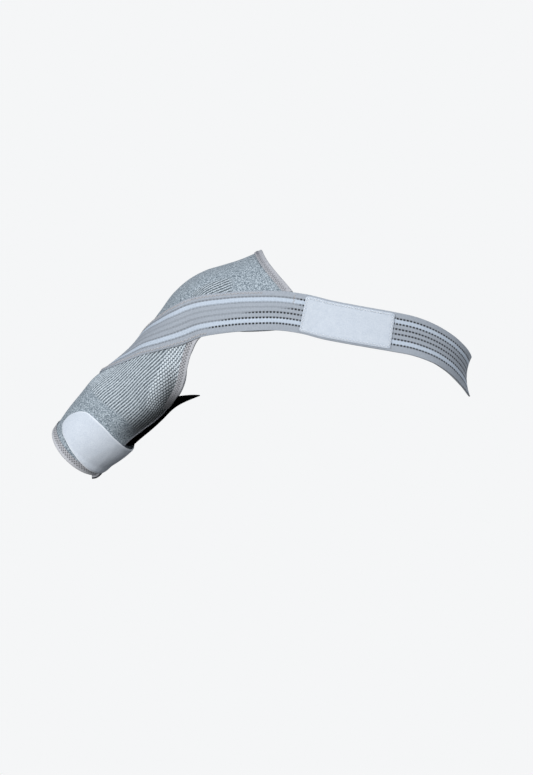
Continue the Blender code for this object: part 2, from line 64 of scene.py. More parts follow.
# Sections of the sleeve from the cuff to the neck point, as in the model's source
SECTION_COLUMNS = ("ridge_x", "ridge_z", "edge_x", "edge_z",
                   "reach", "depth", "mid_y", "tilt", "bow", "back_angle", "fullness")
SECTIONS = np.array((
    (-216.9, -213.9, -155.0, -275.0, 43.3, 42.0, 42.0, 18.0, 0.0, 150.0, 0.0),
    (-199.5, -189.0, -136.0, -254.5, 49.5, 46.0, 33.0, 15.0, 0.0, 150.0, 0.0),
    (-181.0, -166.5, -115.5, -232.5, 52.0, 49.0, 26.0, 14.0, 0.0, 150.0, 0.0),
    (-162.5, -145.0, -96.0, -217.0, 54.0, 51.0, 20.0, 13.0, 0.0, 150.0, 0.0),
    (-138.5, -128.0, -78.5, -204.0, 52.0, 52.0, 15.0, 12.0, 0.0, 150.0, 0.0),
    (-110.5, -104.5, -62.5, -188.0, 50.5, 54.0, 9.5, 10.0, 0.0, 146.0, 0.04),
    (-89.0, -77.5, -46.5, -166.5, 58.0, 57.0, 6.0, 7.0, 0.0, 122.0, 0.08),
    (-72.0, -55.0, -39.5, -150.5, 65.0, 60.0, 4.0, 4.0, 0.0, 107.0, 0.11),
    (-55.5, -32.5, -35.0, -130.5, 71.0, 63.0, 3.0, 2.0, 0.0, 99.0, 0.12),
    (-34.5, -13.5, -30.0, -113.5, 75.0, 66.0, 2.5, 0.0, 0.0, 95.0, 0.12),
    (-11.5, -1.0, -18.5, -93.0, 82.0, 72.0, 2.0, 0.0, 0.5, 91.0, 0.09),
    (11.0, 6.0, 12.0, -73.5, 90.0, 79.0, 2.0, 0.0, 1.0, 82.0, 0.05),
    (35.0, 13.5, 49.0, -62.5, 100.0, 88.0, 2.0, 0.0, 2.2, 76.0, 0.02),
    (63.5, 25.5, 114.0, -46.0, 110.0, 94.0, 2.0, 0.0, 3.4, 77.0, 0.0),
))
LAST_SECTION = len(SECTIONS) - 1
SECTION_STEP = 0.1
SLOPE_STEP = 0.01

FORM_START = -0.1
FORM_END = LAST_SECTION + 1.6
CHEST_SPREAD = math.radians(32.0)
CHEST_FROM = 9.0
CHEST_FULL = 11.0
WHOLE_UP_TO = 2.6
OPEN_FROM = 3.4
CLOSED_UP_TO = 1.6

# The coarse grid of the form from which a search for the nearest place starts, and that search
FORM_ROWS = 90
FORM_COLUMNS = 61
POINTS_AT_ONCE = 2000
SEARCH_STEPS = 6
LONGEST_STEP = 0.2
LONGEST_TURN = 0.1


def spline(rows, u):
    """Smooth curve through evenly numbered rows (Catmull-Rom), read at the row numbers u."""
    rows = np.asarray(rows, dtype=float)
    u = np.clip(np.asarray(u, dtype=float), 0.0, len(rows) - 1.0)
    first = np.minimum(u.astype(int), len(rows) - 2)
    t = (u - first)[..., None]
    before = 2.0 * rows[0] - rows[1]
    after = 2.0 * rows[-1] - rows[-2]
    padded = np.vstack((before, rows, after))
    p0, p1, p2, p3 = (padded[first + step] for step in range(4))
    return p1 + 0.5 * t * (p2 - p0 + t * (2 * p0 - 5 * p1 + 4 * p2 - p3 + t * (3 * (p1 - p2) + p3 - p0)))


def smooth_step(x):
    """0 below 0, 1 above 1, and a soft rise between them: 3 x squared minus 2 x cubed."""
    x = np.clip(x, 0.0, 1.0)
    return x * x * (3.0 - 2.0 * x)


def sections_at(u):
    """Section values at row numbers u, by column name."""
    values = spline(SECTIONS, u)
    return {name: values[..., column] for column, name in enumerate(SECTION_COLUMNS)}


def front_angle(section):
    """Angle from the ridge at which the section reaches the front edge of the knit."""
    reach, tilt = section["reach"], section["tilt"]
    span = np.hypot(section["edge_x"] - section["ridge_x"], section["edge_z"] - section["ridge_z"])
    a = reach ** 2 - tilt ** 2
    c = reach ** 2 + tilt ** 2 - span ** 2
    cosine = (reach ** 2 - np.sqrt(np.maximum(reach ** 4 - a * c, 0.0))) / a
    return np.arccos(np.clip(cosine, -1.0, 1.0))


def sleeve_point(u, angle):
    """Outer face of the sleeve: a full ellipse per section, angle 0 on the ridge, positive in front."""
    section = sections_at(u)
    front = front_angle(section)
    along = section["reach"] * (1.0 - np.cos(front))
    aside = section["tilt"] * np.sin(front)
    edge_x = section["edge_x"] - section["ridge_x"]
    edge_z = section["edge_z"] - section["ridge_z"]
    turn = np.arctan2(edge_z, edge_x) + np.arctan2(aside, along)
    down_x, down_z = np.cos(turn), np.sin(turn)
    cuff_x, cuff_z = down_z, -down_x
    limit = np.where(angle >= 0.0, front, np.radians(section["back_angle"]))
    hollow = section["bow"] * np.sin(np.pi * np.clip(np.abs(angle) / limit, 0.0, 1.0)) ** 2
    reached = section["reach"] * (1.0 - np.cos(angle))
    shifted = section["tilt"] * np.sin(angle) + hollow
    x = section["ridge_x"] + reached * down_x + shifted * cuff_x
    z = section["ridge_z"] + reached * down_z + shifted * cuff_z
    swell = 1.0 + section["fullness"] * np.sin(2.0 * np.clip(angle, 0.0, math.pi / 2.0)) ** 2
    y = section["mid_y"] - section["depth"] * np.sin(angle) * swell
    return np.stack((x, y, z), axis=-1)


def edge_angles(u):
    """Angles of the rear edge and the front edge of the knit at row numbers u, in radians."""
    section = sections_at(u)
    return -np.radians(section["back_angle"]), front_angle(section)


def form_point(u, angle):
    """The sleeve's outer face, carried on in straight lines past the cuff and the neck edge."""
    u, angle = np.broadcast_arrays(np.asarray(u, dtype=float), np.asarray(angle, dtype=float))
    inside = np.clip(u, 0.0, LAST_SECTION)
    past = (u - inside)[..., None]
    inner = inside + np.where(u > inside, -SECTION_STEP, SECTION_STEP)
    at_end = sleeve_point(inside, angle)
    return at_end + np.abs(past) / SECTION_STEP * (at_end - sleeve_point(inner, angle))


def unit(vectors):
    """The same vectors at length one."""
    return vectors / np.maximum(np.linalg.norm(vectors, axis=-1, keepdims=True), 1e-12)


def form_slopes(u, angle):
    """Change of place per section and per radian, from small steps to both sides."""
    along = form_point(u + SLOPE_STEP, angle) - form_point(u - SLOPE_STEP, angle)
    around = form_point(u, angle + SLOPE_STEP) - form_point(u, angle - SLOPE_STEP)
    return along / (2.0 * SLOPE_STEP), around / (2.0 * SLOPE_STEP)


def form_normal(u, angle):
    """Outward direction of the sleeve's face: across its slopes round and along the arm."""
    along, around = form_slopes(u, angle)
    return unit(np.cross(around, along))


def inset_point(u, angle, depth):
    """A point at the given depth under the sleeve's outer face."""
    depth = np.asarray(depth, dtype=float)[..., None]
    return form_point(u, angle) - depth * form_normal(u, angle)


def form_limits(u):
    """Lowest and highest angle of the worn form: whole at the cuff, open above, wider on the chest."""
    back, front = edge_angles(np.clip(u, 0.0, LAST_SECTION))
    chest = CHEST_SPREAD * np.clip((u - CHEST_FROM) / (CHEST_FULL - CHEST_FROM), 0.0, 1.0)
    whole = np.clip((OPEN_FROM - u) / (OPEN_FROM - WHOLE_UP_TO), 0.0, 1.0)
    return back - chest - whole * (math.pi + back), front + chest + whole * (math.pi - front)


def form_samples():
    """Coarse grid of the worn form: its row numbers, angles and places."""
    u = np.linspace(FORM_START, FORM_END, FORM_ROWS)
    low, high = form_limits(u)
    angle = low[:, None] + np.linspace(0.0, 1.0, FORM_COLUMNS) * (high - low)[:, None]
    u = np.broadcast_to(u[:, None], angle.shape)
    return u.ravel(), angle.ravel(), form_point(u, angle).reshape(-1, 3)


SAMPLE_U, SAMPLE_ANGLE, SAMPLE_POINT = form_samples()


def nearest_on_form(points):
    """Row number and angle of the nearest place: nearest sample, then steps down the two slopes."""
    flat = np.asarray(points, dtype=float).reshape(-1, 3)
    size = (SAMPLE_POINT ** 2).sum(axis=1)
    blocks = np.array_split(flat, max(1, len(flat) // POINTS_AT_ONCE))
    first = np.concatenate([(size - 2.0 * block @ SAMPLE_POINT.T).argmin(axis=1) for block in blocks])
    u, angle = SAMPLE_U[first], SAMPLE_ANGLE[first]
    for _ in range(SEARCH_STEPS):
        along, around = form_slopes(u, angle)
        gap = flat - form_point(u, angle)
        aa, ab, bb = (along ** 2).sum(-1), (along * around).sum(-1), (around ** 2).sum(-1)
        ga, gb = (gap * along).sum(-1), (gap * around).sum(-1)
        spread = np.maximum(aa * bb - ab * ab, 1e-9)
        step = np.clip((bb * ga - ab * gb) / spread, -LONGEST_STEP, LONGEST_STEP)
        turn = np.clip((aa * gb - ab * ga) / spread, -LONGEST_TURN, LONGEST_TURN)
        u = np.clip(u + step, FORM_START, FORM_END)
        low, high = form_limits(u)
        angle = np.clip(angle + turn, low, high)
    shape = np.shape(points)[:-1]
    return u.reshape(shape), angle.reshape(shape)


def laid(points, heights):
    """Points moved to the nearest place on the form and lifted off it by the given heights."""
    u, angle = nearest_on_form(points)
    return inset_point(u, angle, -np.broadcast_to(heights, u.shape))


def grid_quads(rows, columns, closed=False):
    """Corner numbers of a grid's quads, with vertices numbered row by row."""
    i = np.arange(rows - 1)[:, None]
    j = np.arange(columns if closed else columns - 1)[None, :]
    k = (j + 1) % columns
    corners = (i * columns + j, i * columns + k, (i + 1) * columns + k, (i + 1) * columns + j)
    return np.stack(np.broadcast_arrays(*corners), axis=-1).reshape(-1, 4)


def make_piece(name, points, faces, material, uv=None, marks=None, thickness=0.0):
    """A finished piece from points in millimetres and quads, with its map, marks and thickness."""
    used, renumbered = np.unique(faces, return_inverse=True)
    faces = renumbered.reshape(np.shape(faces)).astype(np.int32)
    points = np.asarray(points, dtype=float).reshape(-1, 3)[used]
    mesh = bpy.data.meshes.new(name)
    mesh.vertices.add(len(points))
    mesh.vertices.foreach_set("co", (points * MM).ravel())
    mesh.loops.add(faces.size)
    mesh.loops.foreach_set("vertex_index", faces.ravel())
    mesh.polygons.add(len(faces))
    mesh.polygons.foreach_set("loop_start", np.arange(len(faces), dtype=np.int32) * faces.shape[1])
    mesh.update(calc_edges=True)
    mesh.validate()
    mesh.shade_smooth()
    if uv is not None:
        layer = mesh.uv_layers.new(name="cloth")
        flat = np.asarray(uv, dtype=float).reshape(-1, 2)[used]
        layer.data.foreach_set("uv", flat[faces.ravel()].ravel())
    for mark, values in (marks or {}).items():
        attribute = mesh.attributes.new(mark, "FLOAT", "POINT")
        attribute.data.foreach_set("value", np.asarray(values, dtype=float).ravel()[used])
    mesh.materials.append(material)
    piece = bpy.data.objects.new(name, mesh)
    bpy.context.scene.collection.objects.link(piece)
    if thickness:
        shell = piece.modifiers.new("thickness", "SOLIDIFY")
        shell.thickness = thickness * MM
        shell.offset = 0.0
    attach(piece, "root")
    return piece


def make_stitches(name, starts, ends, normals, radius, material, arch=0.35):
    """Short threads from starts to ends: six-sided tubes that rise in an arch and taper to closed ends."""
    t = np.array((0.0, 0.25, 0.75, 1.0))
    thin = np.array((0.35, 1.0, 1.0, 0.35))
    run = unit(ends - starts)
    normals = unit(normals - (normals * run).sum(-1, keepdims=True) * run)
    aside = np.cross(run, normals)
    middle = starts[:, None, :] + t[None, :, None] * (ends - starts)[:, None, :]
    middle = middle + (arch * np.sin(np.pi * t))[None, :, None] * normals[:, None, :]
    turn = np.linspace(0.0, 2.0 * np.pi, 7)[:-1]
    turn = turn[None, :, None]
    ring = np.cos(turn) * normals[:, None, :] + np.sin(turn) * aside[:, None, :]
    points = middle[:, :, None, :] + radius * thin[None, :, None, None] * ring[:, None, :, :]
    caps = np.array(((0, 1, 2, 3), (0, 3, 4, 5), (21, 20, 19, 18), (23, 22, 21, 18)))
    one = np.concatenate((grid_quads(4, 6, closed=True)[:, ::-1], caps))
    faces = (one[None] + 24 * np.arange(len(starts))[:, None, None]).reshape(-1, 4)
    make_piece(name, points, faces, material)


# Materials
NOISE = "ShaderNodeTexNoise"
MATH = "ShaderNodeMath"
RAMP = "ShaderNodeValToRGB"
MIX = "ShaderNodeMix"
BUMP = "ShaderNodeBump"
MARK = "ShaderNodeAttribute"
PLACE = "ShaderNodeTexCoord"


def linear(code):
    """An sRGB hex colour as linear red, green and blue."""
    values = np.array([int(code[k:k + 2], 16) for k in (1, 3, 5)]) / 255.0
    low = values / 12.92
    high = ((values + 0.055) / 1.055) ** 2.4
    return (*np.where(values <= 0.04045, low, high).tolist(), 1.0)


def add(tree, kind, inputs=None, stops=(), **settings):
    """Adds a node with its settings; each input is a link or a value, and stops fill a colour ramp."""
    node = tree.nodes.new(kind)
    for key, value in settings.items():
        setattr(node, key, value)
    for key, value in (inputs or {}).items():
        if isinstance(value, bpy.types.NodeSocket):
            tree.links.new(value, node.inputs[key])
        else:
            node.inputs[key].default_value = value
    if stops:
        elements = node.color_ramp.elements
        while len(elements) < len(stops):
            elements.new(0.5)
        for element, (position, code) in zip(elements, stops):
            element.position = position
            element.color = linear(code)
    return node


def start_material(name, roughness, sheen=0.0, sheen_tint="#ffffff"):
    """A cloth material: matt, with little mirror shine; its node tree and its Principled shader."""
    material = bpy.data.materials.new(name)
    material.use_nodes = True
    tree = material.node_tree
    shader = tree.nodes["Principled BSDF"]
    shader.inputs["Roughness"].default_value = roughness
    shader.inputs["IOR"].default_value = 1.45
    shader.inputs["Specular IOR Level"].default_value = 0.25
    shader.inputs["Sheen Weight"].default_value = sheen
    shader.inputs["Sheen Roughness"].default_value = 0.6
    shader.inputs["Sheen Tint"].default_value = linear(sheen_tint)
    return material, tree, shader


def knit_material():
    """Melange weft knit of grey and white yarn: speckled loops, dark between ribs and bubbles.

    The speckle is 0.6 of a loop-sized noise plus 0.4 of a finer one.  The relief above 0 pales it as a
    painted highlight on the crests, the relief below 0 darkens it as painted shade in the gaps, and the edge
    shade mark paints it near-black as shade towards the knit's front edge under the arm.
    """
    material, tree, shader = start_material("melange weft knit", 0.95, sheen=0.1)
    place = add(tree, PLACE).outputs["Object"]
    # patches of about 1.8 mm with a grain of 0.8 mm, drawn coarser than the loops so that they show
    loops = add(tree, NOISE, {"Vector": place, "Scale": 560.0, "Detail": 1.5, "Roughness": 0.6})
    fine = add(tree, NOISE, {"Vector": place, "Scale": 1200.0, "Detail": 1.0, "Roughness": 0.5})
    fine = add(tree, MATH, {0: fine.outputs["Fac"], 1: 0.4}, operation="MULTIPLY")
    yarn = {0: loops.outputs["Fac"], 1: 0.6, 2: fine.outputs[0]}
    yarn = add(tree, MATH, yarn, operation="MULTIPLY_ADD").outputs[0]
    stops = ((0.38, "#59656e"), (0.47, "#838f98"), (0.53, "#9ca7af"), (0.62, "#c2cdd5"))
    colour = add(tree, RAMP, {"Fac": yarn}, stops).outputs["Color"]
    relief = add(tree, MARK, attribute_name="relief").outputs["Fac"]
    # painted highlight on the relief's crests, painted shade in its gaps
    crest = add(tree, MATH, {0: relief, 1: 0.0}, operation="MAXIMUM").outputs[0]
    crest = add(tree, MATH, {0: crest, 1: 0.85}, operation="MULTIPLY").outputs[0]
    gap = add(tree, MATH, {0: relief, 1: -1.0}, operation="MULTIPLY").outputs[0]
    gap = add(tree, MATH, {0: gap, 1: 0.0}, operation="MAXIMUM").outputs[0]
    gap = add(tree, MATH, {0: gap, 1: 0.92}, operation="MULTIPLY").outputs[0]
    # painted shade: near-black towards the knit's front edge under the arm
    painted_edge_shade = add(tree, MARK, attribute_name="painted_edge_shade").outputs["Fac"]
    for share, code in ((crest, "#e9f2f8"), (gap, "#272c30"), (painted_edge_shade, "#0c0e10")):
        colour = add(tree, MIX, {0: share, 6: colour, 7: linear(code)}, data_type="RGBA").outputs[2]
    tree.links.new(colour, shader.inputs["Base Color"])
    bump = add(tree, BUMP, {"Height": yarn, "Strength": 0.6, "Distance": 0.0009})
    tree.links.new(bump.outputs["Normal"], shader.inputs["Normal"])
    return material


def shade_black_knit_material():
    """Near-black fine knit with a faint grain: its near-black is painted shade, the deep shade under the
    arm.
    """
    material, tree, shader = start_material("near-black knit", 1.0)
    place = add(tree, PLACE).outputs["Object"]
    # stitches of about 1.4 mm, drawn coarser than real
    grain = add(tree, NOISE, {"Vector": place, "Scale": 700.0, "Detail": 1.0}).outputs["Fac"]
    # painted shade: the ramp stays near-black
    colour = add(tree, RAMP, {"Fac": grain}, ((0.35, "#000000"), (0.7, "#050505")))
    tree.links.new(colour.outputs["Color"], shader.inputs["Base Color"])
    shader.inputs["Specular IOR Level"].default_value = 0.0
    bump = add(tree, BUMP, {"Height": grain, "Strength": 0.4, "Distance": 0.0004})
    tree.links.new(bump.outputs["Normal"], shader.inputs["Normal"])
    return material


def tape_material(name, dark, middle, pale):
    """Woven polyester binding tape in warm grey: a fine weave, near-black where it is marked as needle hole
    and where it is marked with painted shade.
    """
    material, tree, shader = start_material(name, 0.9, sheen=0.1)
    place = add(tree, PLACE).outputs["Object"]
    # a weave of about 1.6 mm with a grain of 0.8 mm, drawn coarser than the real one so that it shows
    weave = add(tree, NOISE, {"Vector": place, "Scale": 620.0, "Detail": 2.0}).outputs["Fac"]
    cloth = add(tree, RAMP, {"Fac": weave}, ((0.3, dark), (0.5, middle), (0.7, pale))).outputs["Color"]
    holes_and_painted_shade = add(tree, MARK, attribute_name="holes_and_painted_shade").outputs["Fac"]
    colour = add(tree, MIX, {0: holes_and_painted_shade, 6: cloth, 7: linear("#232428")}, data_type="RGBA").outputs[2]
    tree.links.new(colour, shader.inputs["Base Color"])
    bump = add(tree, BUMP, {"Height": weave, "Strength": 0.4, "Distance": 0.0004})
    tree.links.new(bump.outputs["Normal"], shader.inputs["Normal"])
    return material


# Across the strap from its top edge (0) to its bottom edge (1): the openwork lines between its stripes
STRAP_LINES = (0.155, 0.29, 0.42, 0.545, 0.68, 0.82)
# Half the width of a line, as a share of the strap's width: it fades out over this
LINE_HALF_WIDTH = 0.032
# Millimetres from one dash to the next
DASH_PITCH = 4.7
GROUND_GREY = "#a3aab3"
STRIPE_BLUE = "#bfcad7"
STRIPES = (
    # where the colour begins across the strap, colour
    (0.0, GROUND_GREY), (0.168, STRIPE_BLUE), (0.283, GROUND_GREY), (0.69, STRIPE_BLUE), (0.81, GROUND_GREY),
)


def strap_material():
    """Ribbed elastic in grey with two light stripes and rows of openwork between them.

    A line is 1 less the distance from its middle in half widths, doubled and cut off at 1.  Along it a
    sine of the length makes the dashes, and the openwork mark says how dark they are: painted shade seen
    through the openwork, darkest where no knit lies behind.
    """
    material, tree, shader = start_material("striped elastic", 0.85, sheen=0.1)
    place = add(tree, "ShaderNodeUVMap", uv_map="cloth").outputs["UV"]
    parts = add(tree, "ShaderNodeSeparateXYZ", {"Vector": place})
    length, across = parts.outputs["X"], parts.outputs["Y"]
    # the stripes are about 6 mm wide, the rest is the grey ground
    stripes = add(tree, RAMP, {"Fac": across}, STRIPES)
    stripes.color_ramp.interpolation = "CONSTANT"
    # woven picks are about 1.1 mm apart and run straight across the band
    stretch = add(tree, "ShaderNodeMapping", {"Vector": place, "Scale": (1.0, 16.0, 1.0)})
    picks = {"Vector": stretch.outputs["Vector"], "Scale": 0.9, "Detail": 2.0}
    picks = add(tree, NOISE, picks).outputs["Fac"]
    grain = add(tree, RAMP, {"Fac": picks}, ((0.35, "#c4c8cd"), (0.6, "#ffffff"))).outputs["Color"]
    colour = {0: 0.3, 6: stripes.outputs["Color"], 7: grain}
    colour = add(tree, MIX, colour, data_type="RGBA", blend_type="MULTIPLY").outputs[2]
    # each openwork line has a dark core about 1.7 mm wide with soft sides, and is cut into dashes
    lines = None
    for line in STRAP_LINES:
        off = add(tree, MATH, {0: across, 1: line}, operation="SUBTRACT").outputs[0]
        off = add(tree, MATH, {0: off}, operation="ABSOLUTE").outputs[0]
        off = add(tree, MATH, {0: off, 1: 1.0 / LINE_HALF_WIDTH}, operation="MULTIPLY").outputs[0]
        mark = add(tree, MATH, {0: 1.0, 1: off}, operation="SUBTRACT").outputs[0]
        if lines is not None:
            mark = add(tree, MATH, {0: lines, 1: mark}, operation="MAXIMUM").outputs[0]
        lines = mark
    lines = add(tree, MATH, {0: lines, 1: 0.0}, operation="MAXIMUM").outputs[0]
    lines = add(tree, MATH, {0: lines, 1: 2.0}, operation="MULTIPLY").outputs[0]
    lines = add(tree, MATH, {0: lines, 1: 1.0}, operation="MINIMUM").outputs[0]
    wave = add(tree, MATH, {0: length, 1: 2.0 * math.pi / DASH_PITCH}, operation="MULTIPLY").outputs[0]
    wave = add(tree, MATH, {0: wave}, operation="SINE").outputs[0]
    dash = add(tree, MATH, {0: wave, 1: 2.6, 2: 1.35}, operation="MULTIPLY_ADD").outputs[0]
    # where the knit lies behind, the line stays dark between the dashes too
    # painted shade seen through the openwork
    openwork_shade = add(tree, MARK, attribute_name="openwork").outputs["Fac"]
    bridge = add(tree, MATH, {0: openwork_shade, 1: -0.7, 2: 0.84}, operation="MULTIPLY_ADD").outputs[0]
    dash = add(tree, MATH, {0: dash, 1: bridge}, operation="MAXIMUM").outputs[0]
    dash = add(tree, MATH, {0: dash, 1: 1.0}, operation="MINIMUM").outputs[0]
    dark = add(tree, MATH, {0: lines, 1: dash}, operation="MULTIPLY").outputs[0]
    dark = add(tree, MATH, {0: dark, 1: openwork_shade}, operation="MULTIPLY").outputs[0]
    colour = add(tree, MIX, {0: dark, 6: colour, 7: linear("#141619")}, data_type="RGBA").outputs[2]
    tree.links.new(colour, shader.inputs["Base Color"])
    relief = add(tree, MATH, {0: lines, 1: -1.2, 2: picks}, operation="MULTIPLY_ADD").outputs[0]
    bump = add(tree, BUMP, {"Height": relief, "Strength": 0.4, "Distance": 0.0005})
    tree.links.new(bump.outputs["Normal"], shader.inputs["Normal"])
    return material


def velour_material(name, dark, middle, pale, rim):
    """Brushed velour of hook-and-loop tape: pale, matt, with a fine short nap; the seam mark tints it with
    the rim colour: painted shade in the patch's seam groove, a painted highlight on the tab's rim.

    The nap is three quarters of a fine noise and one quarter of a patchy one.
    """
    material, tree, shader = start_material(name, 1.0, sheen=0.3, sheen_tint="#eef3fa")
    place = add(tree, PLACE).outputs["Object"]
    # tufts of about 1.5 mm with a finer grain, in patches of about 8 mm
    nap = add(tree, NOISE, {"Vector": place, "Scale": 650.0, "Detail": 3.0, "Roughness": 0.6}).outputs["Fac"]
    patchy = add(tree, NOISE, {"Vector": place, "Scale": 120.0, "Detail": 2.0}).outputs["Fac"]
    patchy = add(tree, MATH, {0: patchy, 1: 0.25}, operation="MULTIPLY").outputs[0]
    both = add(tree, MATH, {0: nap, 1: 0.75, 2: patchy}, operation="MULTIPLY_ADD").outputs[0]
    nappy = add(tree, RAMP, {"Fac": both}, ((0.3, dark), (0.5, middle), (0.7, pale))).outputs["Color"]
    # seam mark: painted shade along the patch's seam groove, a painted highlight along the tab's rim
    seam = add(tree, MARK, attribute_name="seam").outputs["Fac"]
    colour = add(tree, MIX, {0: seam, 6: nappy, 7: linear(rim)}, data_type="RGBA").outputs[2]
    tree.links.new(colour, shader.inputs["Base Color"])
    bump = add(tree, BUMP, {"Height": nap, "Strength": 0.4, "Distance": 0.0005})
    tree.links.new(bump.outputs["Normal"], shader.inputs["Normal"])
    return material


def thread_material(name, code):
    """Spun polyester sewing thread, a little darker where its twist turns away."""
    material, tree, shader = start_material(name, 0.8, sheen=0.1)
    place = add(tree, PLACE).outputs["Object"]
    # turns of the twist about 1.1 mm apart, drawn coarser than real
    twist = add(tree, NOISE, {"Vector": place, "Scale": 900.0}).outputs["Fac"]
    twist = add(tree, MATH, {0: twist, 1: 0.35}, operation="MULTIPLY").outputs[0]
    colour = add(tree, MIX, {0: twist, 6: linear(code), 7: linear("#808288")}, data_type="RGBA")
    tree.links.new(colour.outputs[2], shader.inputs["Base Color"])
    return material


KNIT = knit_material()
SHADE_BLACK_KNIT = shade_black_knit_material()
TAPE = tape_material("woven binding tape", "#b3b5ba", "#c0c1c6", "#cbccd0")
# The neck tape is the binding tape painted darker: painted shade on the neck edge
SHADED_NECK_TAPE = tape_material("woven neck tape", "#9c9ea3", "#aaabb0", "#b6b7bb")
ELASTIC = strap_material()
# The patch's rim colour is painted shade in its pressed seam groove, with the needle punctures
VELOUR = velour_material("brushed velour", "#bbc4cf", "#c6ced8", "#d0d7df", rim="#98a5b5")
# The tab's velour is the patch's velour painted lighter, as light on the tab; its rim colour is a painted
# highlight
LIT_TAB_VELOUR = velour_material("brushed tab velour", "#c6cfda", "#d2dae4", "#dce3eb", rim="#eff4fa")
BEIGE_THREAD = thread_material("beige sewing thread", "#c6c0bd")
DARK_THREAD = thread_material("dark grey sewing thread", "#7d7f86")
PALE_THREAD = thread_material("pale sewing thread", "#f0f4f8")

# The knit's zones: ribs along the arm, a bubble zone towards the armpit, plain melange elsewhere.
# Steps of ribs are in degrees round the arm, heights and the bubbles' pitch in millimetres.
RIB_STEP = 4.1
RIB_HEIGHT = 0.5
RIB_SHADE = 0.8
BUBBLE_PITCH = 5.4
BUBBLE_HEIGHT = 1.0
BUBBLE_FIRST = 4.3
BUBBLE_LAST = 8.6
BUBBLE_LEFT = np.array((
    # section, angle in degrees at which the bubbles begin
    (4.26, 118.0), (4.68, 110.0), (5.16, 100.0), (5.56, 93.0), (6.1, 85.0), (6.78, 79.0), (8.2, 76.0),
))
RIB_LOW_END = np.array((
    # angle in degrees, section at which the ribs begin
    (10.0, 2.6), (46.0, 2.68), (65.0, 2.74), (86.0, 2.88), (104.0, 2.95), (126.0, 2.82), (150.0, 2.7),
))
RIB_TOP = np.array((
    # section, angle in degrees at which the ribs end under the strap
    (4.1, -8.0), (4.93, 14.0), (5.75, 34.0), (6.73, 52.0), (8.0, 68.0), (9.2, 76.0),
))
RIB_FADE_FROM = 6.0
RIB_FADE = 12.0
UPPER_RIBS = np.array((
    # section, angle of one of the ribs in degrees, angle at which the ribs end
    (8.9, 71.5, 48.0),
    (9.5, 63.5, 46.0),
    (10.0, 58.2, 43.5),
    (10.6, 53.0, 41.0),
    (11.1, 49.8, 40.0),
    (11.7, 46.4, 40.0),
))
UPPER_RIB_STEP = 2.9
UPPER_RIB_FIRST = 9.2
UPPER_RIB_LAST = 11.5
UPPER_RIB_HEIGHT = 0.35
UPPER_RIB_SHADE = 0.75


def zone(value, first, last, soft):
    """1 between two borders and 0 outside, with a soft change of the given width."""
    return smooth_step((value - first) / soft + 0.5) * smooth_step((last - value) / soft + 0.5)


def knit_relief(u, angle, along):
    """The knit's pattern, from -1 in a gap to 1 on a crest, and its lift in millimetres.

    Ribs are a cosine of the angle.  Bubbles are the sum of a cosine across the ribs and one along
    them, shifted by half a step from one column to the next and pushed towards 1 and -1, which the knit's
    colour paints as a highlight on the bubbles and as shade between them.
    The ribs above the strap are a cosine of the angle from one rib's own line.
    """
    degrees = np.degrees(angle)
    ribs = degrees / RIB_STEP
    rib = np.cos(2.0 * np.pi * ribs)
    stagger = 0.5 * np.mod(np.round(ribs), 2.0)
    bubble = 0.55 * rib + 0.55 * np.cos(2.0 * np.pi * (along / BUBBLE_PITCH + stagger)) + 0.3
    bubble = np.tanh(2.2 * bubble)
    left = np.interp(u, BUBBLE_LEFT[:, 0], BUBBLE_LEFT[:, 1])
    in_bubbles = zone(u, BUBBLE_FIRST, BUBBLE_LAST, 0.3) * smooth_step((degrees - left) / 4.0 + 0.5)
    low_end = np.interp(degrees, RIB_LOW_END[:, 0], RIB_LOW_END[:, 1])
    top = np.interp(u, RIB_TOP[:, 0], RIB_TOP[:, 1])
    in_ribs = smooth_step((u - low_end) / 0.2) * smooth_step((degrees - top) / 4.0)
    in_ribs = in_ribs * smooth_step((degrees - RIB_FADE_FROM) / RIB_FADE) * (1.0 - in_bubbles)
    one_rib = np.interp(u, UPPER_RIBS[:, 0], UPPER_RIBS[:, 1])
    highest = np.interp(u, UPPER_RIBS[:, 0], UPPER_RIBS[:, 2])
    in_upper = zone(u, UPPER_RIB_FIRST, UPPER_RIB_LAST, 0.45) * smooth_step((degrees - highest) / 5.0 + 0.5)
    upper = np.cos(2.0 * np.pi * (degrees - one_rib) / UPPER_RIB_STEP) - 0.25
    pattern = RIB_SHADE * rib * in_ribs + bubble * in_bubbles + UPPER_RIB_SHADE * upper * in_upper
    lift = RIB_HEIGHT * rib * in_ribs + BUBBLE_HEIGHT * (bubble + 0.2) * in_bubbles
    return pattern, lift + UPPER_RIB_HEIGHT * upper * in_upper


# Grid of the knit's outer face: rows along the arm, columns round it, the last ones under the arm
CLOSED_ROWS = 36
OPEN_ROWS = 384
FRONT_COLUMNS = 190
BACK_COLUMNS = 44
BRIDGE_COLUMNS = 10
# The inner face keeps every so many rows and columns of the outer one
INNER_ROW_STEP = 6
INNER_COLUMN_STEP = 5
FACE_SUNK = 0.15
EDGE_FADE = 0.03
# Share of the way to the front edge, and sections, between which the knit is painted near-black as shade
EDGE_SHADE_FROM = 0.66
EDGE_SHADE_FADE = 0.29
EDGE_SHADE_FIRST = 2.2
EDGE_SHADE_LAST = 6.3
EDGE_SHADE_DEPTH = 0.92


